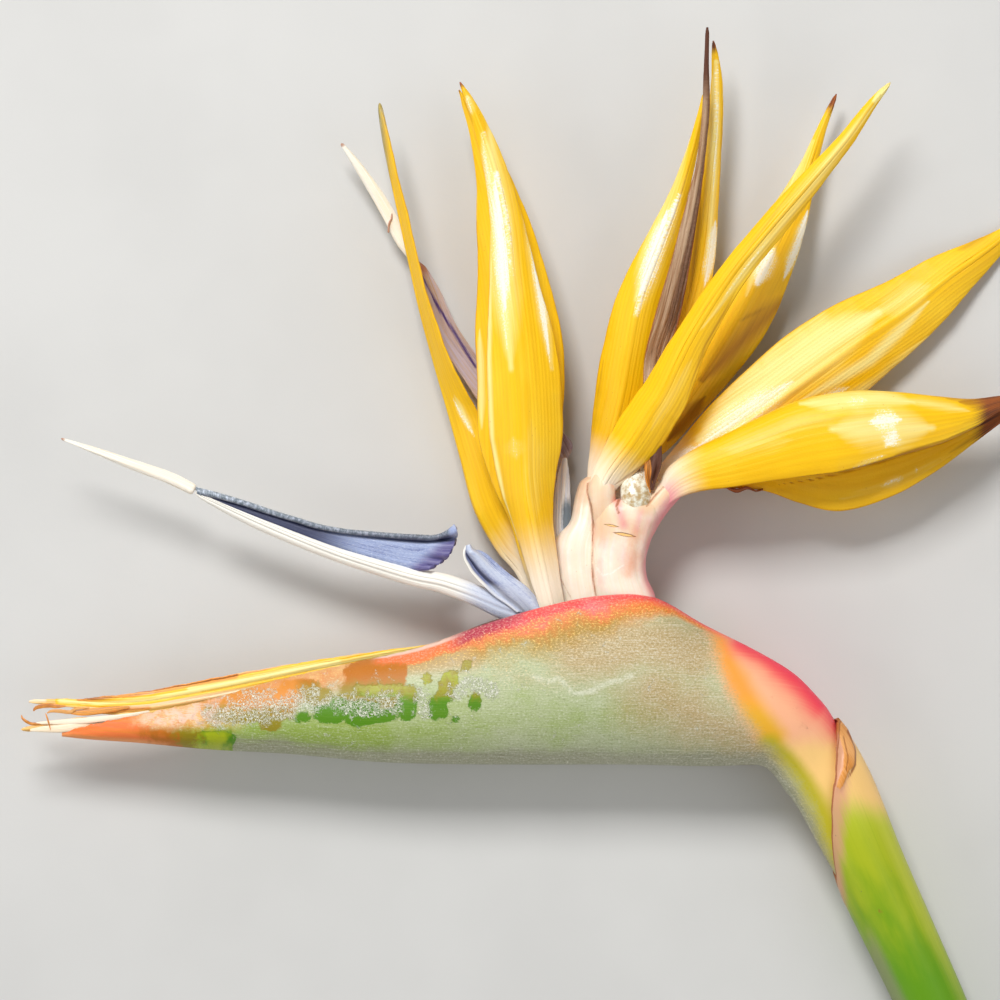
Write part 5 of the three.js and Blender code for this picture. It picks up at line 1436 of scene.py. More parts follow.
class FLOWER_OT_spathe(bpy.types.Operator):
    """The hollow beaked spathe with its slit and neck"""

    bl_idname = "flower.spathe"
    bl_label = "Spathe"

    def execute(self, context):
        along, around = 350, 121
        count = along * around
        u, v = np.linspace(0, 1, along), np.linspace(-1, 1, around)
        outer, wall_side = self.shell(u, v, 0.0), self.shell(u, v, 1.0)
        joined = int(np.searchsorted(u, SLIT_END))
        points = np.concatenate([outer.reshape(-1, 3), wall_side.reshape(-1, 3)])
        a = np.arange(count).reshape(along, around)
        a[joined:, -1] = a[joined:, 0]
        b = a + count
        margin = slice(0, joined + 1)
        faces = np.concatenate([
            self.grid_faces(a), self.grid_faces(b)[:, ::-1],
            strip(a[0], b[0]), strip(a[-1], b[-1], flip=True),
            strip(a[margin, 0], b[margin, 0], flip=True), strip(a[margin, -1], b[margin, -1])])
        skin = material("spathe skin", spathe_material)
        fields = self.fields(u, v, outer)
        put("hollow_spathe", points, [faces], skin, ["spathe"], fields)
        return {"FINISHED"}

    def grid_faces(self, numbers):
        """Quads of a grid of point numbers, facing out of the shell."""
        corners = [numbers[:-1, :-1], numbers[1:, :-1], numbers[1:, 1:], numbers[:-1, 1:]]
        return np.stack(corners, -1).reshape(-1, 4)

    def shell(self, u, v, inset):
        """Half rings from the keel at v 0 to the margins at v 1 and -1: their place runs from keel
        to margin by half of one minus the cosine, and they swell by a power of the sine."""
        rows = spline(SPATHE, u)[:, None]
        keel, margin = rows[..., 0:2], np.repeat(rows[..., 2:4], len(v), axis=1)
        ragged = fade(u, 0.42, 0.1)[:, None]
        margin[..., 1] += ragged * 0.22 * wobble(margin[..., 0] * 1.1 + np.sign(v) * 5, 3, 5)
        depth, gap = rows[..., 4], rows[..., 5]
        wall = rows[..., 6] * (0.35 + 0.65 * fade(np.abs(v), 1, 0.6))
        inwards = inset * wall
        span = np.linalg.norm(margin - keel, axis=-1)
        start = np.minimum(inwards / span, 0.4)
        rim = np.maximum(gap + wall - inwards, THINNEST)
        half = np.maximum(depth - inwards, THINNEST)
        power = SIDE_FULLNESS[0] + (SIDE_FULLNESS[1] - SIDE_FULLNESS[0]) * fade(u, *NECK_START)[:, None]
        up = (1 - np.cos(np.pi * np.abs(v))) / 2
        swell = (half - RIM_SHARE * rim) * np.maximum(np.sin(np.pi * np.abs(v)), 0) ** power
        closing = fade(u, SLIT_END - 0.05, SLIT_END)[:, None]
        z = swell + rim * up ** RIM_POWER * (1 - closing * np.abs(v) ** 30)
        share = start + (1 - (2 - 0.85) * start) * up
        spot = keel + (margin - keel) * share[..., None]
        level = MID_HEIGHT - np.maximum(0, (spot[..., 0] - BEND_X) * STEM_SLOPE)
        height = level + np.sign(v) * z
        height = np.where(v < 0, np.maximum(height, inset * wall), height)
        uneven = 0.22 + 0.1 * wobble(spot[..., 0] * 0.12 + v * 2.0, 8)
        uneven = uneven * np.sin(np.pi * np.abs(v)) * (1 - inset) * (height > 2.0)
        return np.concatenate([spot, (height - np.sign(v) * uneven)[..., None]], -1)

    def fields(self, u, v, outer):
        """Paint of the skin, by the photograph: the bands below the rim, the neck, the rubbed
        patches with their lace, the hazes, and the colours of the neck. A band's number is the
        share of the depth down to its pink, and one more the share from there down to its gold."""
        xy = outer[..., :2]
        rows = spline(SPATHE, u)
        along = lengths(rows[:, :2])[:, None] + 0 * v
        span = np.linalg.norm(rows[:, 2:4] - rows[:, 0:2], axis=1)[:, None]
        up = (1 - np.cos(np.pi * np.abs(v))) / 2
        from_rim = (1 - up) * span
        pixel, pink, gold = np.array(RIM_BANDS).T
        table_x = place(np.stack([pixel, 0 * pixel], -1))[:, 0]
        pink, gold = np.interp(xy[..., 0], table_x, pink), np.interp(xy[..., 0], table_x, gold)
        beyond = 1 + (from_rim - pink) / (gold - pink)
        band = np.where(from_rim < pink, from_rim / np.maximum(pink, 0.01), beyond)
        neck = np.clip(signed_distance(xy, NECK_EDGE), -9, 9)
        outside = {
            "run": triple(along, up * span, np.sign(v)),
            "marks": triple(np.minimum(band, 4), neck, 0),
            "zones": triple(spots(xy, GREEN_PATCHES), spots(xy, OCHRE_PATCHES), streaks(xy, LACE)),
            "paint": streak_triple(xy, WARM_HAZE, GREEN_HAZE, CREST),
            "flush": streak_triple(xy, CRIMSON, AMBER_LINE, LIME_LINE),
        }
        fields = twice(outside)
        fields["marks"][len(u) * len(v):, 2] = 1.0
        return fields


class FLOWER_OT_stem(bpy.types.Operator):
    """The stem with its cut end, and the sheath wrapped round it"""

    bl_idname = "flower.stem"
    bl_label = "Stem and sheath"

    # The sheath's radius for its pattern in mm, the dried fold of its mouth, and its brown creases
    mean_radius = 7.0
    fold = [
        ([(839, 724), (844, 738), (848, 752), (847, 763)], 8.5, 1.0),
        ([(846, 764), (838, 784)], 5, 0.9),
    ]
    creases = [
        ([(846, 732), (854, 748), (854, 764), (848, 775)], 4, 1.0),
        ([(841, 736), (846, 757), (844, 770)], 3, 0.8), ([(878, 909), (880, 911)], 6, 0.8),
    ]

    def execute(self, context):
        points, faces, fields = rod_parts(STEM, 160, 48, end_round=0.05)
        skin = material("stem flesh", cut_material)
        put("inner_stem", points, faces, skin, ["peduncle"], fields)
        self.sheath()
        return {"FINISHED"}

    def sheath(self):
        """Rings whose angle starts on the inner side: each line round the stem ends at its own
        share, which makes the mouth slant, and the wall thins towards it."""
        along, sides = 230, 96
        t = np.linspace(0, 1, along)[:, None]
        angle = np.linspace(0, 2 * np.pi, sides, endpoint=False)[None]
        outer_side = (1 - np.cos(angle)) / 2
        mouth = MOUTH_INNER + (MOUTH_OUTER - MOUTH_INNER) * outer_side ** MOUTH_SLANT
        mouth = mouth + 0.003 * wobble(angle * 3.0, 12)
        share = mouth * t ** 0.8
        rows, _, side, up = axes_along(STEM, share)
        flat = np.cos(angle)[..., None] * side + np.sin(angle)[..., None] * up
        uneven = 0.05 * wobble(angle * 4 + share * 3, 5) - 0.06
        radius = rows[..., 5] + uneven - 0.25 * fade(t, 0.93, 1.0)
        thick = 0.95 - 0.65 * fade(t, 0.7, 1.0)
        inner = rows[..., :3] + flat * (radius - thick)[..., None]
        outer = rows[..., :3] + flat * radius[..., None]
        upper = np.sin(angle) > 0
        fold, crease = streaks(outer[..., :2], self.fold), streaks(outer[..., :2], self.creases)
        raised = 0.4 * fade(fold, 0.05, 0.5) * upper
        outer = outer + flat * raised[..., None]
        outer[..., 2] = np.maximum(outer[..., 2], 0.02)
        a = np.arange(along * sides).reshape(along, sides)
        b = a + along * sides
        ring_a, ring_b = np.append(a, a[:, :1], axis=1), np.append(b, b[:, :1], axis=1)
        faces = np.concatenate([
            quads(along, sides, wrap=True), quads(along, sides, along * sides, flip=True, wrap=True),
            strip(ring_a[0], ring_b[0], flip=True), strip(ring_a[-1], ring_b[-1])])
        from_mouth = (mouth - share) * STEM_LENGTH
        bloom = fade(outer_side, 0.3, 0.03) * fade(t, 0.8, 0.6)
        lip = 0.75 * fade(from_mouth, 13.0, 1.0) + 0.25 * fade(from_mouth, 1.4, 0.4)
        light = fade(outer_side, 0.66, 0.95) * (0.3 + 0.5 * fade(t, 0.1, 0.6))
        marks = triple(bloom, lip, light)
        peach = fade(outer[..., 1] + 0.25 * outer[..., 0], -21.0, -3.0)
        zones = triple(peach, fold * upper, crease * upper)
        run = triple(share * STEM_LENGTH, angle * self.mean_radius, 0)
        fields = twice({"run": run, "marks": marks, "zones": zones})
        points = np.concatenate([outer.reshape(-1, 3), inner.reshape(-1, 3)])
        skin = material("sheath skin", stem_material)
        put("slanted_sheath", points, [faces], skin, ["stem_sheath"], fields)


class FLOWER_OT_bases(bpy.types.Operator):
    """The three columns that carry the florets, and two roots of sepals on the last of them"""

    bl_idname = "flower.bases"
    bl_label = "Floret bases"

    # Height in mm over which a point lies on the upper side of a column
    middle_height = 12.0

    def execute(self, context):
        skin = material("cream base", base_material)
        for number, (name, sections) in enumerate(COLUMNS.items()):
            relief = lambda angle, run, k=number: (
                0.1 * wobble(angle * 2.0 + run * 0.03, 20 + k)
                + 0.05 * wobble(angle * 7.0 + run * 0.05, 30 + k))
            points, faces, fields = column_parts(sections, 110, 96, relief)
            self.finish(f"{name}_column", points, faces, fields, skin, [name])
        for number, (name, stations) in enumerate(SHOULDERS.items()):
            relief = lambda u, angle, run, k=number: 0.05 * wobble(angle * 3.0 + run * 0.1, 36 + k)
            points, faces, fields = rod_parts(stations, 90, 64, 0.25, 0.2, relief)
            self.finish(name, points, faces, fields, skin, [])
        return {"FINISHED"}

    def finish(self, name, points, faces, fields, skin, nodes):
        """Makes the piece with its paint: all streaks on the last column and the roots, fewer on
        the others, and those of the upper side only there."""
        paint = {key: streaks(points[:, :2], lines) for key, lines in BASE_PAINT.items()}
        upper = points[:, 2] > self.middle_height
        if name.startswith("floret_c") or not nodes:
            fields["marks"] = triple(paint["pink"], paint["bruise"] * upper, 0)
            fields["zones"] = triple(paint["tan"], paint["line"] * upper, paint["flake"] * upper)
        else:
            fields["marks"] = triple(0.3 * paint["pink"], 0 * upper, 0)
            fields["zones"] = triple(0.8 * fade(points[:, 1], 30, 42), paint["line"] * upper, 0)
        put(name, points, faces, skin, nodes, fields)


# The blue arrow petal: its white shaft as x, y, z, level radius, upright radius, then the lower
# and upper line of its blade, in pixels
ARROW_SHAFT = [
    (-12.5, 14.6, 12.6, 2.3, 1.8), (-16.2, 15.5, 12.9, 2.4, 1.7), (-20.0, 16.8, 13.1, 2.35, 1.6),
    (-24.0, 18.6, 13.2, 2.15, 1.6), (-28.0, 20.2, 13.3, 2.1, 1.5), (-32.0, 21.5, 13.4, 2.0, 1.5),
    (-37.0, 22.5, 13.4, 1.8, 1.5), (-44.0, 24.5, 13.4, 1.65, 1.5), (-52.0, 27.0, 13.4, 1.5, 1.45),
    (-60.0, 30.0, 13.5, 1.4, 1.4), (-68.0, 33.3, 13.5, 1.3, 1.3), (-74.0, 36.0, 13.6, 1.0, 1.1),
    (-79.0, 38.4, 13.6, 0.62, 0.8), (-80.8, 39.6, 13.6, 0.4, 0.5),
]

BLADE_LOWER = [
    (424, 568), (410, 568.5), (390, 564), (370, 558), (350, 552), (330, 545.5), (310, 538), (290, 530),
    (270, 522), (250, 514.5), (230, 506.5), (210, 498.5), (198, 492),
]

BLADE_UPPER = [
    (455, 525), (447, 532), (435, 536.5), (415, 536), (395, 535), (370, 533), (345, 530.5), (320, 526),
    (300, 520), (275, 512.5), (250, 504), (222, 495.5), (196, 488.5),
]


class FLOWER_OT_arrow(bpy.types.Operator):
    """The blue arrow petal: a white grooved shaft under a hollow blade with a rolled margin"""

    bl_idname = "flower.arrow"
    bl_label = "Blue arrow petal"

    def execute(self, context):
        sizes = context.scene.flower_sizes
        along, sides = 170, 72
        relief = lambda u, angle, run: -0.2 * self.groove(angle, run)
        points, faces, fields = rod_parts(ARROW_SHAFT, along, sides, end_round=0.03, relief=relief)
        x = points[:, 0]
        angle = np.append(np.tile(np.linspace(0, 2 * np.pi, sides, endpoint=False), along), [0, 0])
        fields["marks"] = triple(0.3 + 0.7 * fade(x, -20, -33), 0, 0)
        # The third zone is the depth of the grooves, which the material darkens as painted shade
        fields["zones"] = triple(
            fade(x, -36, -20) * 0.9, 0, self.groove(angle, fields["run"][:, 0]))
        middle, blade_fields = self.blade_grid()
        half = np.full(middle.shape[:2], sizes.petal_thickness / MM / 2)
        blade_points, blade_faces, blade_fields = sheet_parts(middle, half, blade_fields, len(points))
        put("arrow_petal_a_blade", np.concatenate([points, blade_points]), [*faces, blade_faces],
            material("blue petal", arrow_material), ["arrow_petal_a"],
            {key: np.concatenate([fields[key], blade_fields[key]]) for key in fields})
        return {"FINISHED"}

    def groove(self, angle, run):
        """Depth of the shaft's two grooves from 0 to 1: bells round two angles that sway by a sine."""
        angle = angle + 0.15 * np.sin(run * 0.06)
        return np.exp(-((angle - 1.45) / 0.13) ** 2) + 0.8 * np.exp(-((angle - 2.0) / 0.1) ** 2)

    def blade_grid(self):
        """Points between the lower and the upper line: by the distance from the upper one there is
        a round rim, then a valley, then a face that rises again. The trailing end is bowed out by a
        power of a sine and ruffled by sines."""
        u, s = np.linspace(0, 1, 150), 1 - np.linspace(1, 0, 61) ** 1.4
        lower, upper = spline(place(BLADE_LOWER), u), spline(place(BLADE_UPPER), u)
        span = np.linalg.norm(upper - lower, axis=1)[:, None]
        depth = (1 - s) * span
        rim = 1.25 * np.sqrt(np.clip(1 - ((depth - 0.5) / 0.55) ** 2, 0, 1))
        valley = -0.7 * np.exp(-((depth - 1.6) / 0.6) ** 2)
        face = 0.25 * fade(depth, 1.8, 4.0) - 0.7 * fade(s, 0.12, 0.0)
        size = np.clip(span / 3.0, 0.3, 1.0)
        tail = fade(u, 0.13, 0.0)[:, None]
        bow = 2.5 * tail * np.clip(np.sin(np.pi * s), 0, 1) ** 0.6
        xy = lower[:, None] + (upper - lower)[:, None] * s[None, :, None]
        xy = xy + np.array([0.81, -0.58]) * bow[..., None]
        ruffle = tail * (0.6 * np.sin(s * 13.0 + 0.6) + 0.35 * np.sin(s * 29.0) + 0.5)
        z = 13.8 + (rim + valley + face) * size + ruffle
        middle = np.concatenate([xy, z[..., None]], -1)
        along, across = lengths(lower)[:, None], s * span
        # Painted shadow: darkest in the valley under the rolled rim, and over the far end of the blade
        dark = np.clip(1.2 - np.abs(depth - 1.6) / (1.0 + 0.5 * span / 7), 0, 1)
        dark = dark * fade(u, 0.01, 0.08)[:, None]
        dark = np.maximum(dark, 0.85 * fade(xy[..., 0], -42, -60) * fade(depth, 0.8, 1.4))
        rolled = fade(depth, 1.05, 0.7) * fade(u, 0.03, 0.1)[:, None]
        edge = fade(u, 0.16, 0.02)[:, None] * fade(s, 0.95, 0.6)
        return middle, {"run": triple(along, across, 0), "marks": triple(0, dark, edge),
                        "zones": triple(0, rolled, 0 * across)}


class FLOWER_OT_petals(bpy.types.Operator):
    """The other arrow petals and the two small petals"""

    bl_idname = "flower.petals"
    bl_label = "Petals"

    # Left and right outline of the small blue petal, from its notched tip to its foot
    small_left = [
        (466, 546), (463.5, 552), (464, 559), (467, 565), (471, 572), (477, 579), (484, 586), (490, 592),
        (497, 598), (506, 604), (516, 612),
    ]
    small_right = [
        (470, 544), (475, 549.5), (482, 551), (488, 554.5), (496, 562), (505, 570), (515, 578), (525, 585),
        (532, 592), (540, 601), (548, 612),
    ]

    # The dark valley and the dried margin of the mauve petal: pixels, half width, strength
    valley = [([(421, 275), (438, 305), (455, 332), (476, 366)], 4.5, 0.8)]
    dry_margin = [([(410, 262), (428, 300), (450, 342), (472, 380)], 3, 0.4)]

    # Pattern shift from one petal to the next in mm
    pattern_step = 50

    def execute(self, context):
        sizes = context.scene.flower_sizes
        mauve = material("mauve petal", plain_material, "mauve", "fawn", "violet")
        pale = material("pale petal", plain_material, "ice", "ivory", "steel")
        dried = material("dried petal", plain_material, "umber", "fawn", "bark",
                         (0.03, 2.0), 0.5, 0.62, 0.0)
        blue = material("blue petal", arrow_material)
        skins = {"arrow_petal_b": (mauve, "petal_mauve"), "arrow_petal_c": (dried, "dried_brown"),
                 "small_petal_a": (blue, "arrow_blue"), "small_petal_b": (pale, "petal_mauve")}
        for number, (name, (skin, slot)) in enumerate(skins.items()):
            u, s = np.linspace(0, 1, 150), dense(45)
            middle, across = self.surface(name, number, u, s)
            along = run_along(middle)
            half = edge_profile(s, sizes.petal_thickness / MM, sizes.edge_thickness / MM)
            marks, zones = self.paint(name, u[:, None] + 0 * s, s + 0 * along, middle[..., :2])
            points, faces, fields = sheet_parts(middle, half + 0 * along, {
                "run": triple(along + self.pattern_step * number, across, 0), "marks": marks,
                "zones": zones})
            put(f"{name}_blade", points, [faces], skin, [name], fields)
        return {"FINISHED"}

    def surface(self, name, number, u, s):
        """The CAD blade with fine lengthwise ridges, or for the small blue petal the space between
        its two outlines, raised to a ridge with a curled left margin."""
        if name == "small_petal_a":
            share = (1 + s) / 2
            ridge, curl = 1.1 * np.exp(-((s - 0.25) / 0.5) ** 2), 0.8 * fade(s, -0.6, -1.0)
            height = 16.0 + ridge + curl - 0.5 * fade(s, -0.2, -0.5)
            height = height + 0.25 * np.sin(s * 6 + u[:, None] * 5) - 1.0 * u[:, None]
            size, level = 0.4 + 0.6 * fade(u, 0.0, 0.15)[:, None], 15.6
            height = level + (height - level) * size
            middle = ribbon(self.small_left, self.small_right, u, share, height)
            return middle, s * 2.6 + 0 * u[:, None]
        stations = PETALS[name]
        dried = name == "arrow_petal_c"
        middle = blade(stations, u, s, DRIED_TIP_SHARE if dried else TIP_SHARE)
        across = s * spline(stations, u)[:, 3:4]
        along = run_along(middle)
        relief = 0.1 * wobble(across * 1.8 + along * 0.02, number + 60)
        if dried:
            ridge = np.abs(np.sin(s * 8.0 + 0.5 * wobble(along * 0.1, 7)))
            relief = relief + 0.3 * ridge - 0.35 * fade(s, 0.1, -0.2) - 0.3
        return middle + normals_of(middle) * (relief * fade(u, 1, 0.9)[:, None])[..., None], across

    def paint(self, name, u, s, xy):
        """What colours each petal: dark valleys, blue faces, purple or dry edges, a cream foot, and on the
        small blue petal painted shade and a painted highlight.
        """
        zones = triple(0, 0, 0 * s)
        if name == "arrow_petal_b":
            lobe = fade(u, 0.5, 0.4) * fade(u, 0.26, 0.33)
            dark = np.maximum(streaks(xy, self.valley), lobe * 0.5)
            dry = np.maximum(streaks(xy, self.dry_margin), fade(u, 0.85, 1.0))
            marks = triple(dark, fade(u, 0.3, 0.0) * 0.6, dry)
        elif name == "arrow_petal_c":
            dark = fade(s, 0.2, -0.1) * fade(u, 0.35, 0.45)
            dark = np.maximum(0.6 * dark, 0.8 * fade(u, 0.7, 0.95))
            marks = triple(dark, fade(u, 0.38, 0.3) * 0.3, fade(np.abs(s), 0.8, 1))
        elif name == "small_petal_a":
            # Painted shade along the left inside of the channel, and a painted highlight that lightens the
            # blue in the middle and to the right
            shade = 0.9 * np.exp(-((s + 0.35) / 0.2) ** 2) * fade(u, 0.0, 0.1)
            light = np.clip(1.3 - np.abs(s - 0.3) / 0.6, 0, 1)
            white = fade(s, -0.72, -0.95) * 0.8 + 0.7 * fade(u, 0.03, 0.0)
            marks = triple(white, shade, 0.5 * fade(s, -0.5, -0.7))
            zones = triple(np.maximum(fade(u, 0.45, 0.75), 0.75 * light), 0.25 * light, 0)
        else:
            shade = fade(u, 0.75, 0.4) * fade(u, 0.12, 0.3) * fade(s, 0.6, -0.4)
            marks = triple(shade * 0.9, fade(u, 0.2, 0.0), 0.8 * fade(u, 0.95, 1.0))
        return marks, zones


class FLOWER_OT_styles(bpy.types.Operator):
    """The two cream styles beyond the tips of the arrow petals"""

    bl_idname = "flower.styles"
    bl_label = "Styles"

    # A curled thread at the tip of a style: its pixels, first height, rise a pixel pair and radius
    thread = [(388, 206), (391, 211), (391, 217), (388.5, 223), (388, 232)]
    thread_height = 5.0
    thread_rise = 0.25
    thread_radius = 0.2

    def execute(self, context):
        skin = material("cream style", plain_material, "ivory", "cream", "mauve")
        for number, (name, stations) in enumerate(STYLES.items()):
            relief = lambda u, angle, run, k=number: (
                0.05 * wobble(angle * 3.0 + run * 0.2, 70 + k)
                - 0.18 * np.exp(-((angle - 1.7) / 0.25) ** 2))
            points, faces, fields = rod_parts(stations, 80, 28, 0.05, 0.03, relief)
            run = fields["run"][:, 0] / fields["run"][:, 0].max()
            fields["marks"] = triple(0.35 * fade(run, 0.5, 1.0) * number, 0, fade(run, 0.93, 1.0) * 0.9)
            put(f"{name}_rod", points, faces, skin, [name], fields)
        stations = [
            (x, y, self.thread_height + self.thread_rise * k, self.thread_radius, self.thread_radius)
            for k, (x, y) in enumerate(place(self.thread))]
        points, faces, fields = rod_parts(stations, 40, 10, 0.05, 0.05)
        fields["marks"] = triple(0 * points[:, 0], 0, 1.0)
        put("curled_thread", points, faces, skin, [], fields)
        return {"FINISHED"}


class FLOWER_OT_bracts(bpy.types.Operator):
    """The dried strips of the inner bract, and the frayed fibres of the beak"""

    bl_idname = "flower.bracts"
    bl_label = "Inner bracts"

    # Fibres of the beak: pixels of their line, height, half width, flattening, and brownness
    fibres = {
        "curled_fibre": (
            [(33.5, 711), (36, 708), (42, 706), (50, 705.5), (57, 706.5), (66, 706)],
            12.9, 0.45, 0.4, 1.0),
        "pale_fibre": (
            [(47, 713), (52, 711), (60, 711), (70, 712), (76, 709), (90, 707.5)],
            12.9, 0.4, 0.4, 0.45),
        "bent_hair": ([(46, 713), (47, 716), (49, 722), (51, 730)], 13.5, 0.17, 1.0, 0.9),
        "curled_hair": (
            [(21.7, 715), (22.5, 718), (26, 721), (31, 723.5), (38, 723.5), (50, 722.5)],
            12.8, 0.3, 0.6, 0.8),
        "long_strip": ([(36, 723), (60, 722), (90, 720), (126, 716), (150, 711)], 13.0, 0.62, 0.35, 0.0),
        "orange_strip": ([(70, 713), (84, 712.5), (105, 710), (130, 707)], 12.7, 0.7, 0.35, 0.5),
        "low_strip": ([(30, 730), (45, 729), (66, 728), (92, 723), (112, 719)], 12.9, 0.8, 0.35, 0.15),
    }

    # Streaks of the strips: pixels, half width, strength
    yellow = [
        ([(60, 701), (100, 703.5), (150, 699.5), (200, 690)], 6, 0.9),
        ([(190, 690), (250, 679.5), (300, 669), (340, 663)], 8, 1.0),
        ([(330, 665), (380, 655), (420, 648)], 6, 0.8),
    ]
    brown = [
        ([(80, 698), (130, 694), (170, 686.5), (235, 675)], 6, 1.0),
        ([(230, 672.5), (300, 659), (400, 644)], 3, 1.0), ([(100, 711), (150, 708)], 3, 0.6),
    ]
    # The first pale streak is a painted glint of light; the others are a pale tip and a cream band
    pale = [
        ([(133, 695), (152, 691)], 5, 1.0), ([(29, 701), (45, 701)], 4, 0.6),
        ([(90, 709), (150, 705), (200, 698), (270, 686)], 6, 0.55),
    ]

    # Pattern shifts from one strip and from one fibre to the next in mm
    strip_step = 31
    fibre_step = 17

    def execute(self, context):
        skin = material("bract strips", bract_material)
        for number, (name, stations) in enumerate(INNER_BRACTS.items()):
            u, s = np.linspace(0, 1, 180), dense(37)
            middle = blade(stations, u, s)
            along = run_along(middle)
            across = s * spline(stations, u)[:, 3:4]
            relief = 0.2 * wobble(across * 1.9 + along * 0.01, 80 + number) * fade(u, 1, 0.95)[:, None]
            middle = middle + normals_of(middle) * relief[..., None]
            middle[..., 1] += 0.1 * wobble(along * 0.5, 84 + number) * s ** 2 * np.sign(s)
            marks = streak_triple(middle[..., :2], self.yellow, self.brown, self.pale)
            points, faces, fields = sheet_parts(middle, edge_profile(s, 0.5, 0.3) + 0 * along, {
                "run": triple(along + number * self.strip_step, across, 0), "marks": marks})
            put(f"{name}_strip", points, [faces], skin, [name], fields)
        for number, (name, (pixels, z, half_width, flat, brown)) in enumerate(self.fibres.items()):
            line = place(pixels)
            wide = half_width * np.sin(np.linspace(0.3, np.pi * 0.9, len(line)))
            rows = [
                (x, y, z + 0.15 * (k % 3), w, w * flat) for k, ((x, y), w) in enumerate(zip(line, wide))]
            points, faces, fields = rod_parts(rows, 70, 14, 0.05, 0.05)
            fields["run"][:, 0] += self.fibre_step * number
            fields["marks"] = triple(0 * points[:, 0], brown, 0.8 - brown)
            put(name, points, faces, skin, [], fields)
        return {"FINISHED"}


class FLOWER_OT_bud(bpy.types.Operator):
    """The stub of the spent bud, and the dry shards beside it"""

    bl_idname = "flower.bud"
    bl_label = "Spent bud"

    # Left and right outline and height of each shard
    shards = {
        "orange_shard": (
            [(645, 462), (644, 474), (647, 486), (649, 492)],
            [(651, 459), (652, 470), (652, 482), (650, 493)], 17.0),
        "dark_shard": (
            [(650, 458), (651, 470), (650, 482), (650, 490)],
            [(661, 446), (661, 460), (658, 474), (652, 490)], 17.4),
    }

    def execute(self, context):
        relief = lambda u, angle, run: (
            0.08 * wobble(angle * 2.0 + u * 5, 91)
            + 0.1 * wobble(angle * 8.0 + u * 25, 92) * fade(u, 0.5, 0.85))
        points, faces, fields = rod_parts(SPENT_BUD, 110, 72, 0.1, 0.3, relief)
        y = points[:, 1]
        fields["marks"] = triple(fade(y, 41.5, 43.5), fade(y, 37.5, 34.5), 0)
        skin = material("glassy stub", bud_material)
        put("glassy_stub", points, faces, skin, ["spent_bud"], fields)
        dry = material("dry shard", plain_material, "umber", "tangerine", "bark")
        for number, (name, (left, right, height)) in enumerate(self.shards.items()):
            u, s = np.linspace(0, 1, 40), np.linspace(-1, 1, 15)
            level = height + 0.5 * np.abs(s) + 0.15 * np.sin(u[:, None] * 9 + s * 3)
            middle = ribbon(left, right, u, (1 + s) / 2, level)
            points, faces, fields = sheet_parts(middle, np.full(middle.shape[:2], 0.14), {
                "run": triple(u[:, None] * 8, s + 9 * number, 0),
                "marks": triple(0.8 * number + 0 * level, 0, 0.2)})
            put(name, points, [faces], dry, [], fields)
        return {"FINISHED"}


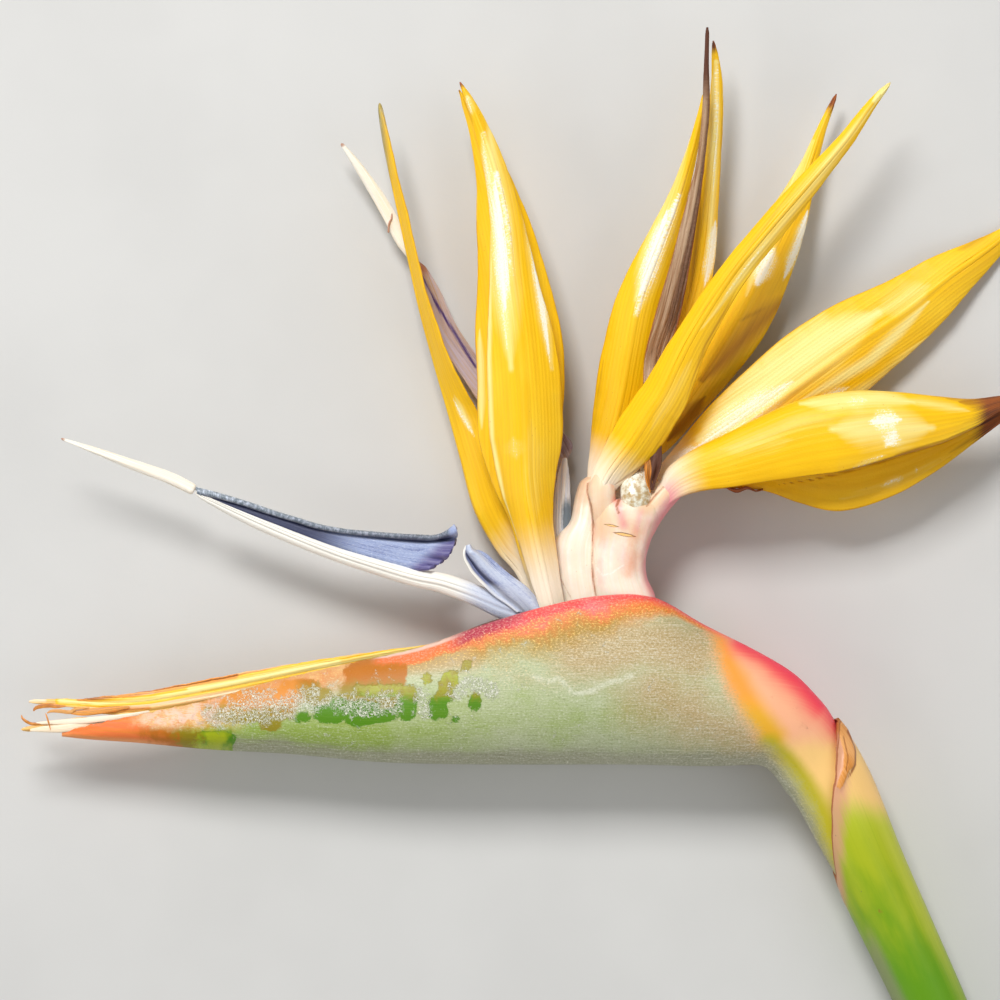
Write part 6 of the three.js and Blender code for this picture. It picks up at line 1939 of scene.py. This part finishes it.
class FLOWER_OT_stage(bpy.types.Operator):
    """Plain floor, soft light and the camera straight above"""

    bl_idname = "flower.stage"
    bl_label = "Stage"

    def execute(self, context):
        scene = context.scene
        self.floor(scene)
        self.light(scene, "key", (-0.25, 0.75, 0.9), 0.35, 11.5)
        self.light(scene, "fill", (0.8, -0.4, 0.8), 0.9, 2.6)
        self.light(scene, "rim", (-0.9, -0.2, 0.6), 0.6, 2.6)
        world = bpy.data.worlds.new("studio")
        world.use_nodes = True
        background = world.node_tree.nodes["Background"]
        background.inputs["Color"].default_value = (0.86, 0.87, 0.88, 1)
        background.inputs["Strength"].default_value = 0.36
        scene.world = world
        scene.view_settings.view_transform = "Standard"
        data = bpy.data.cameras.new("camera")
        data.lens, data.sensor_width = 270.0, 36.0
        data.clip_start, data.clip_end = 0.05, 20.0
        camera = bpy.data.objects.new("camera", data)
        centre = place((PICTURE_PIXELS / 2, PICTURE_PIXELS / 2)) * MM
        distance = PICTURE_PIXELS * MM_PER_PIXEL * MM * data.lens / data.sensor_width
        camera.location = (centre[0], centre[1], MID_HEIGHT * MM + distance)
        scene.collection.objects.link(camera)
        scene.camera = camera
        return {"FINISHED"}

    def floor(self, scene):
        """A square of ground that reaches 6 m from the origin each way."""
        side = 6.0
        corners = [(-side, -side, 0), (side, -side, 0), (side, side, 0), (-side, side, 0)]
        mesh = bpy.data.meshes.new("floor")
        mesh.from_pydata(corners, [], [(0, 1, 2, 3)])
        mesh.materials.append(floor_material())
        floor = bpy.data.objects.new("floor", mesh)
        scene.collection.objects.link(floor)

    def light(self, scene, name, location, size, power):
        """A square lamp that faces the origin: its axis is its place taken from zero."""
        data = bpy.data.lights.new(name, "AREA")
        data.size, data.energy = size, power
        lamp = bpy.data.objects.new(name, data)
        lamp.location = location
        lamp.rotation_euler = (-Vector(location)).to_track_quat("-Z", "Y").to_euler()
        scene.collection.objects.link(lamp)


OPERATORS = (FLOWER_OT_stage, FLOWER_OT_spathe, FLOWER_OT_stem, FLOWER_OT_bracts, FLOWER_OT_bases,
             FLOWER_OT_sepals, FLOWER_OT_arrow, FLOWER_OT_petals, FLOWER_OT_styles, FLOWER_OT_bud)


class FLOWER_PT_panel(bpy.types.Panel):
    """Lists the pieces of the flower"""

    bl_label = "Bird of Paradise Flower"
    bl_idname = "FLOWER_PT_panel"
    bl_space_type = "VIEW_3D"
    bl_region_type = "UI"
    bl_category = "Flower"

    def draw(self, context):
        for operator in OPERATORS:
            self.layout.operator(operator.bl_idname)
        for group in (context.scene.flower_sizes, context.scene.flower_colours):
            box = self.layout.box()
            for name in group.bl_rna.properties.keys():
                if name not in ("rna_type", "name"):
                    box.prop(group, name)


CLASSES = (FlowerColours, FlowerSizes, *OPERATORS, FLOWER_PT_panel)


def register():
    """Registers the classes and gives the scene its flower settings."""
    for entry in CLASSES:
        bpy.utils.register_class(entry)
    bpy.types.Scene.flower_sizes = PointerProperty(type=FlowerSizes)
    bpy.types.Scene.flower_colours = PointerProperty(type=FlowerColours)


def unregister():
    """Takes the settings and the classes away again."""
    del bpy.types.Scene.flower_sizes
    del bpy.types.Scene.flower_colours
    for entry in reversed(CLASSES):
        bpy.utils.unregister_class(entry)


def main():
    """Builds the stage and every piece through its operator."""
    register()
    for operator in OPERATORS:
        group, name = operator.bl_idname.split(".")
        getattr(getattr(bpy.ops, group), name)()


if __name__ == "__main__":
    main()
